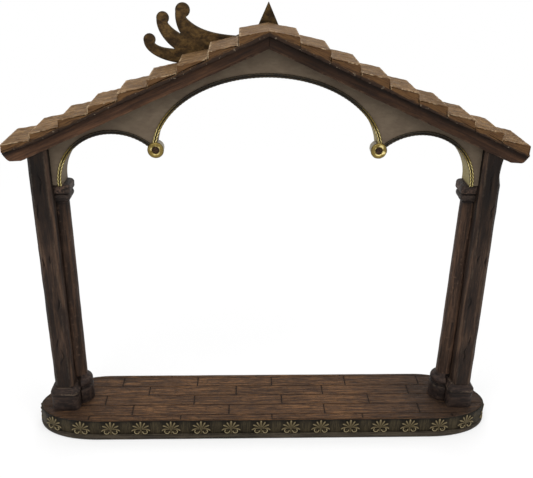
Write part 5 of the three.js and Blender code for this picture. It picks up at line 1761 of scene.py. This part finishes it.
@dataclass(frozen=True)
class Comet:
    """The star and its tail of three curled plumes. Places count millimetres from the star's middle."""

    points: int = 4
    reach: float = 30.0
    waist: float = 13.1
    tail_top: float = 0.5
    tail_foot: float = -12.0
    tail_thinner: float = 0.2
    top_curve: tuple[Pair, Pair] = ((-42, -0.7), (-62.5, 3.6))
    tail_step: float = 0.8
    star_step: float = 0.7
    shift: Pair = (1.3, 0.6)  # of the tail and of the star, to the right
    plumes: tuple[Plume, ...] = (
        Plume((-76, 21.9), 6.5, -66, 190, ((-83.3, 14.5), (-81.6, 7.5)), (-78.4, 1.9),
              ((-81, 3.6), (-86.6, 6.6))),
        Plume((-93.6, 15.2), 5.6, -42, 190, ((-99.9, 6.5), (-93.9, -4.2)), (-84.1, -11.3),
              ((-88.5, -10.6), (-96.4, -11))),
        Plume((-106, -3.4), 5.4, -35, 195, ((-110.6, -13.7), (-99, -20.6)), (-84.5, -23.2),
              ((-64, -27), (-34, -22))),
    )

    BRONZE = RimmedPaint("bronze paint", "bronze_paint",
                         (46, 35, 22), (74, 56, 33), (102, 79, 46), (110, 92, 62),
                         streak=(9, 6), patch=12, patchy=0.35, splits=0.25, wear=0.25, relief=0.15,
                         roughness=(0.35, 0.6), metallic=0.35)

    @staticmethod
    def bend(start: np.ndarray, guides: tuple[Pair, Pair], end: np.ndarray) -> np.ndarray:
        """A cubic curve from start to end, drawn towards two guides: the usual weights of (1-t) and t."""
        t = np.linspace(0, 1, 40)[:, None]
        one, two = np.array(guides)
        return (1 - t) ** 3 * start + 3 * (1 - t) ** 2 * t * one + 3 * (1 - t) * t ** 2 * two + t ** 3 * end

    def tail(self, height: float) -> np.ndarray:
        """Outline of the tail in X and Z, round its plumes from the top."""
        root = -self.waist / 2
        here, guides = np.array([root, self.tail_top]), self.top_curve
        parts = []
        for plume in self.plumes:
            turn = np.radians(np.linspace(plume.start, plume.end, 60))[:, None]
            knob = np.array(plume.knob) + plume.radius * np.hstack([np.cos(turn), np.sin(turn)])
            notch = np.array(plume.notch)
            outer = self.bend(knob[-1], plume.outer, notch)
            parts += [self.bend(here, guides, knob[0])[:-1], knob[:-1], outer[:-1]]
            here, guides = notch, plume.inner
        parts.append(self.bend(here, guides, np.array([root, self.tail_foot])))
        return evenly(np.vstack(parts), self.tail_step, closed=True) + [0, height]

    def star(self, height: float) -> np.ndarray:
        """Outline of the star in X and Z: tips and notches in turn."""
        corner = np.arange(2 * self.points)
        turn = np.pi * (0.5 + corner / self.points)
        reach = np.where(corner % 2 == 0, self.reach, self.waist)
        corners = np.stack([reach * np.cos(turn), height + reach * np.sin(turn)], axis=1)
        return softened(cornered(corners, self.star_step), 2)

    def build(self) -> None:
        """Makes the comet as one piece, the star a little thicker than the tail."""
        box, thinner = Box.of("comet_star"), self.tail_thinner
        front, back, height = box.low[1], box.high[1], box.high[2] - self.reach
        board = Board(front + thinner, back - thinner, bevel=0.5, inset=1.1, spacing=3.0, bevel_steps=3)
        tail = board.skin(self.tail(height))
        star = replace(board, front=front, back=back, inset=0.4, shrink=0.08).skin(self.star(height))
        # The star darker towards its lower tip.
        star.masks["wash"] = np.clip(1.0 - (star.points[:, 2] - height) / self.reach, 0.05, 0.5)
        for skin, shift in zip((tail, star), self.shift):
            skin.points[:, 0] += shift
        Skin.joined([tail, star]).put("comet_with_tail", self.BRONZE, "comet_star")


@dataclass(frozen=True)
class Fixings:
    """Finishes of the solids that keep their own shape: slabs, plugs, pins, screws and pads."""

    SLAB = Finish("slab paint", "slab_paint", (34, 25, 22), (52, 38, 31), (74, 54, 42), (90, 70, 56),
                  Grain.SLOPE, (36, 2), patch=26, splits=0.6, wear=0.0)
    PLUG = Finish("plug paint", "plug_paint", (34, 24, 18), (58, 42, 30), (84, 62, 42), (90, 70, 48),
                  streak=(2, 1.4), patch=3, splits=0.2, wear=0.0, relief=0.15)
    STEEL = Finish("zinc", "steel", (120, 122, 126), (150, 152, 156), (178, 180, 184), (190, 190, 190),
                   Grain.UPRIGHT, (3, 0.4), patch=5, patchy=0.2, splits=0.0, wear=0.0, wash=0.0, relief=0.03,
                   roughness=(0.25, 0.4), gloss=1.0)
    FELT = Finish("felt", "felt", (26, 34, 27), (42, 52, 42), (60, 72, 58), (60, 72, 58),
                  streak=(1.2, 0.5), patch=4, patchy=0.2, splits=0.0, wear=0.0, relief=0.3,
                  roughness=(0.9, 1.0))
    DRESSED = (
        (SLAB, ("roof_slab_left", "roof_slab_right")),
        (PLUG, ("roundel_plug_left", "roundel_plug_right")),
        (STEEL, (*(f"{pin}_{name}" for pin in ("post_pin", "capital_pin", "post_screw", "column_screw")
                   for name in SIDES), "comet_pin_inner", "comet_pin_outer")),
        (FELT, tuple(f"felt_pad_{end}_{name}" for end in ("front", "rear") for name in SIDES)),
    )

    def build(self) -> None:
        """Gives each of these solids its finish."""
        for finish, nodes in self.DRESSED:
            for node in nodes:
                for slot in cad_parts[node].material_slots:
                    slot.material = painted(finish)
            LOG.info("%s on %d solids", finish.name, len(nodes))


@dataclass(frozen=True)
class Lamp:
    """A round soft lamp: its place and size in metres and its power in watts."""

    place: tuple[float, float, float]
    size: float
    power: float


@dataclass(frozen=True)
class Studio:
    """Camera, floor and light. Lengths are metres, angles degrees."""

    frame_width: int = 533
    focal: float = 717.3
    sensor: float = 36.0
    turn: float = 1.993
    tilt: float = 23.795
    roll: float = -0.756
    eye: tuple[float, float, float] = (-0.02146, -0.62482, 0.47849)
    target: tuple[float, float, float] = (0, 0, 0.2)  # of the lamps
    floor_half: float = 6.0
    floor_white: float = 0.95
    floor_rough: float = 0.9
    ambient: float = 0.62
    floor_glow: float = 0.55
    floor_near: float = 0.5
    floor_far: float = 1.1
    lamps: tuple[Lamp, ...] = (
        Lamp((-0.7, -1.0, 1.7), 1.3, 15.0), Lamp((0.9, -0.7, 1.5), 1.3, 9.0), Lamp((0.1, 1.2, 1.6), 1.5, 9.0),
    )

    def camera(self) -> None:
        """The camera that was fitted to the photograph: it looks along the turned and tilted Y axis."""
        turn, tilt, roll = (math.radians(angle) for angle in (self.turn, self.tilt, self.roll))
        ahead = Vector((math.sin(turn) * math.cos(tilt), math.cos(turn) * math.cos(tilt), -math.sin(tilt)))
        right = Vector((math.cos(turn), -math.sin(turn), 0))
        down = ahead.cross(right)
        across = math.cos(roll) * right + math.sin(roll) * down
        below = math.cos(roll) * down - math.sin(roll) * right
        lens = bpy.data.cameras.new("camera")
        lens.sensor_width = self.sensor
        lens.lens = self.focal / self.frame_width * lens.sensor_width
        camera = bpy.data.objects.new("camera", lens)
        place = Matrix((across, -below, -ahead)).transposed().to_4x4()
        place.translation = Vector(self.eye)
        camera.matrix_world = place
        bpy.context.scene.collection.objects.link(camera)
        bpy.context.scene.camera = camera

    def backdrop(self, wiring: Wiring) -> Socket:
        """Strength of the pale surroundings: 1 to the camera, in gloss and through glass, ambient else."""
        rays = wiring.node("ShaderNodeLightPath").outputs
        seen = wiring.math("MAXIMUM", rays["Is Camera Ray"], rays["Is Glossy Ray"])
        seen = wiring.math("MAXIMUM", seen, rays["Is Transmission Ray"])
        return wiring.node("ShaderNodeMapRange", {0: seen, 3: self.ambient, 4: 1.0}).outputs[0]

    def floor(self) -> None:
        """A wide pale floor that keeps the object's shadow and fades into the white backdrop."""
        half = self.floor_half
        mesh = bpy.data.meshes.new("floor")
        corners = [(-half, -half, 0), (half, -half, 0), (half, half, 0), (-half, half, 0)]
        mesh.from_pydata(corners, [], [(0, 1, 2, 3)])
        material = bpy.data.materials.new("floor")
        material.use_nodes = True
        nodes, wiring = material.node_tree.nodes, Wiring(material.node_tree)
        shader = nodes["Principled BSDF"]
        wiring.feed(shader, {"Base Color": (self.floor_white, self.floor_white, self.floor_white, 1),
                             "Roughness": self.floor_rough, "Specular IOR Level": 0.0})
        place = wiring.node("ShaderNodeTexCoord").outputs["Object"]
        away = wiring.node("ShaderNodeVectorMath", {0: place}, operation="LENGTH").outputs["Value"]
        share = wiring.spread(away, self.floor_near, self.floor_far, self.floor_glow, 1.0)
        glow = wiring.node("ShaderNodeEmission", {"Strength": self.backdrop(wiring)})
        blend = wiring.node("ShaderNodeMixShader", {0: share, 1: shader.outputs[0], 2: glow.outputs[0]})
        wiring.feed(nodes["Material Output"], {"Surface": blend.outputs[0]})
        mesh.materials.append(material)
        floor = bpy.data.objects.new("floor", mesh)
        bpy.context.scene.collection.objects.link(floor)

    def light(self) -> None:
        """Soft lamps and a pale world, which looks white to the camera and in gloss."""
        world = bpy.data.worlds.new("studio")
        bpy.context.scene.world = world
        world.use_nodes = True
        wiring = Wiring(world.node_tree)
        background = world.node_tree.nodes["Background"]
        wiring.feed(background, {"Color": (1, 1, 1, 1), "Strength": self.backdrop(wiring)})
        for index, spec in enumerate(self.lamps):
            lamp = bpy.data.lights.new(f"lamp_{index}", "AREA")
            lamp.shape, lamp.size, lamp.energy = "DISK", spec.size, spec.power
            holder = bpy.data.objects.new(lamp.name, lamp)
            aim = (Vector(self.target) - Vector(spec.place)).to_track_quat("-Z", "Y")
            holder.matrix_world = Matrix.Translation(spec.place) @ aim.to_matrix().to_4x4()
            bpy.context.scene.collection.objects.link(holder)

    def build(self) -> None:
        """Sets up the whole studio."""
        self.camera()
        self.floor()
        self.light()
        bpy.context.scene.view_settings.view_transform = "Standard"


def main() -> None:
    """Builds the stable's pieces in order."""
    logging.basicConfig(level=logging.INFO, format="%(message)s")
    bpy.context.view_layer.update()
    rake = Rake.of_shingles()
    Studio().build()
    Base(Plan.of_deck()).build()
    for name, side in SIDES.items():
        Pier(side, name, rake).build()
    Gable(rake).build()
    Roof(rake).build()
    Comet().build()
    Fixings().build()


if __name__ == "__main__":
    main()
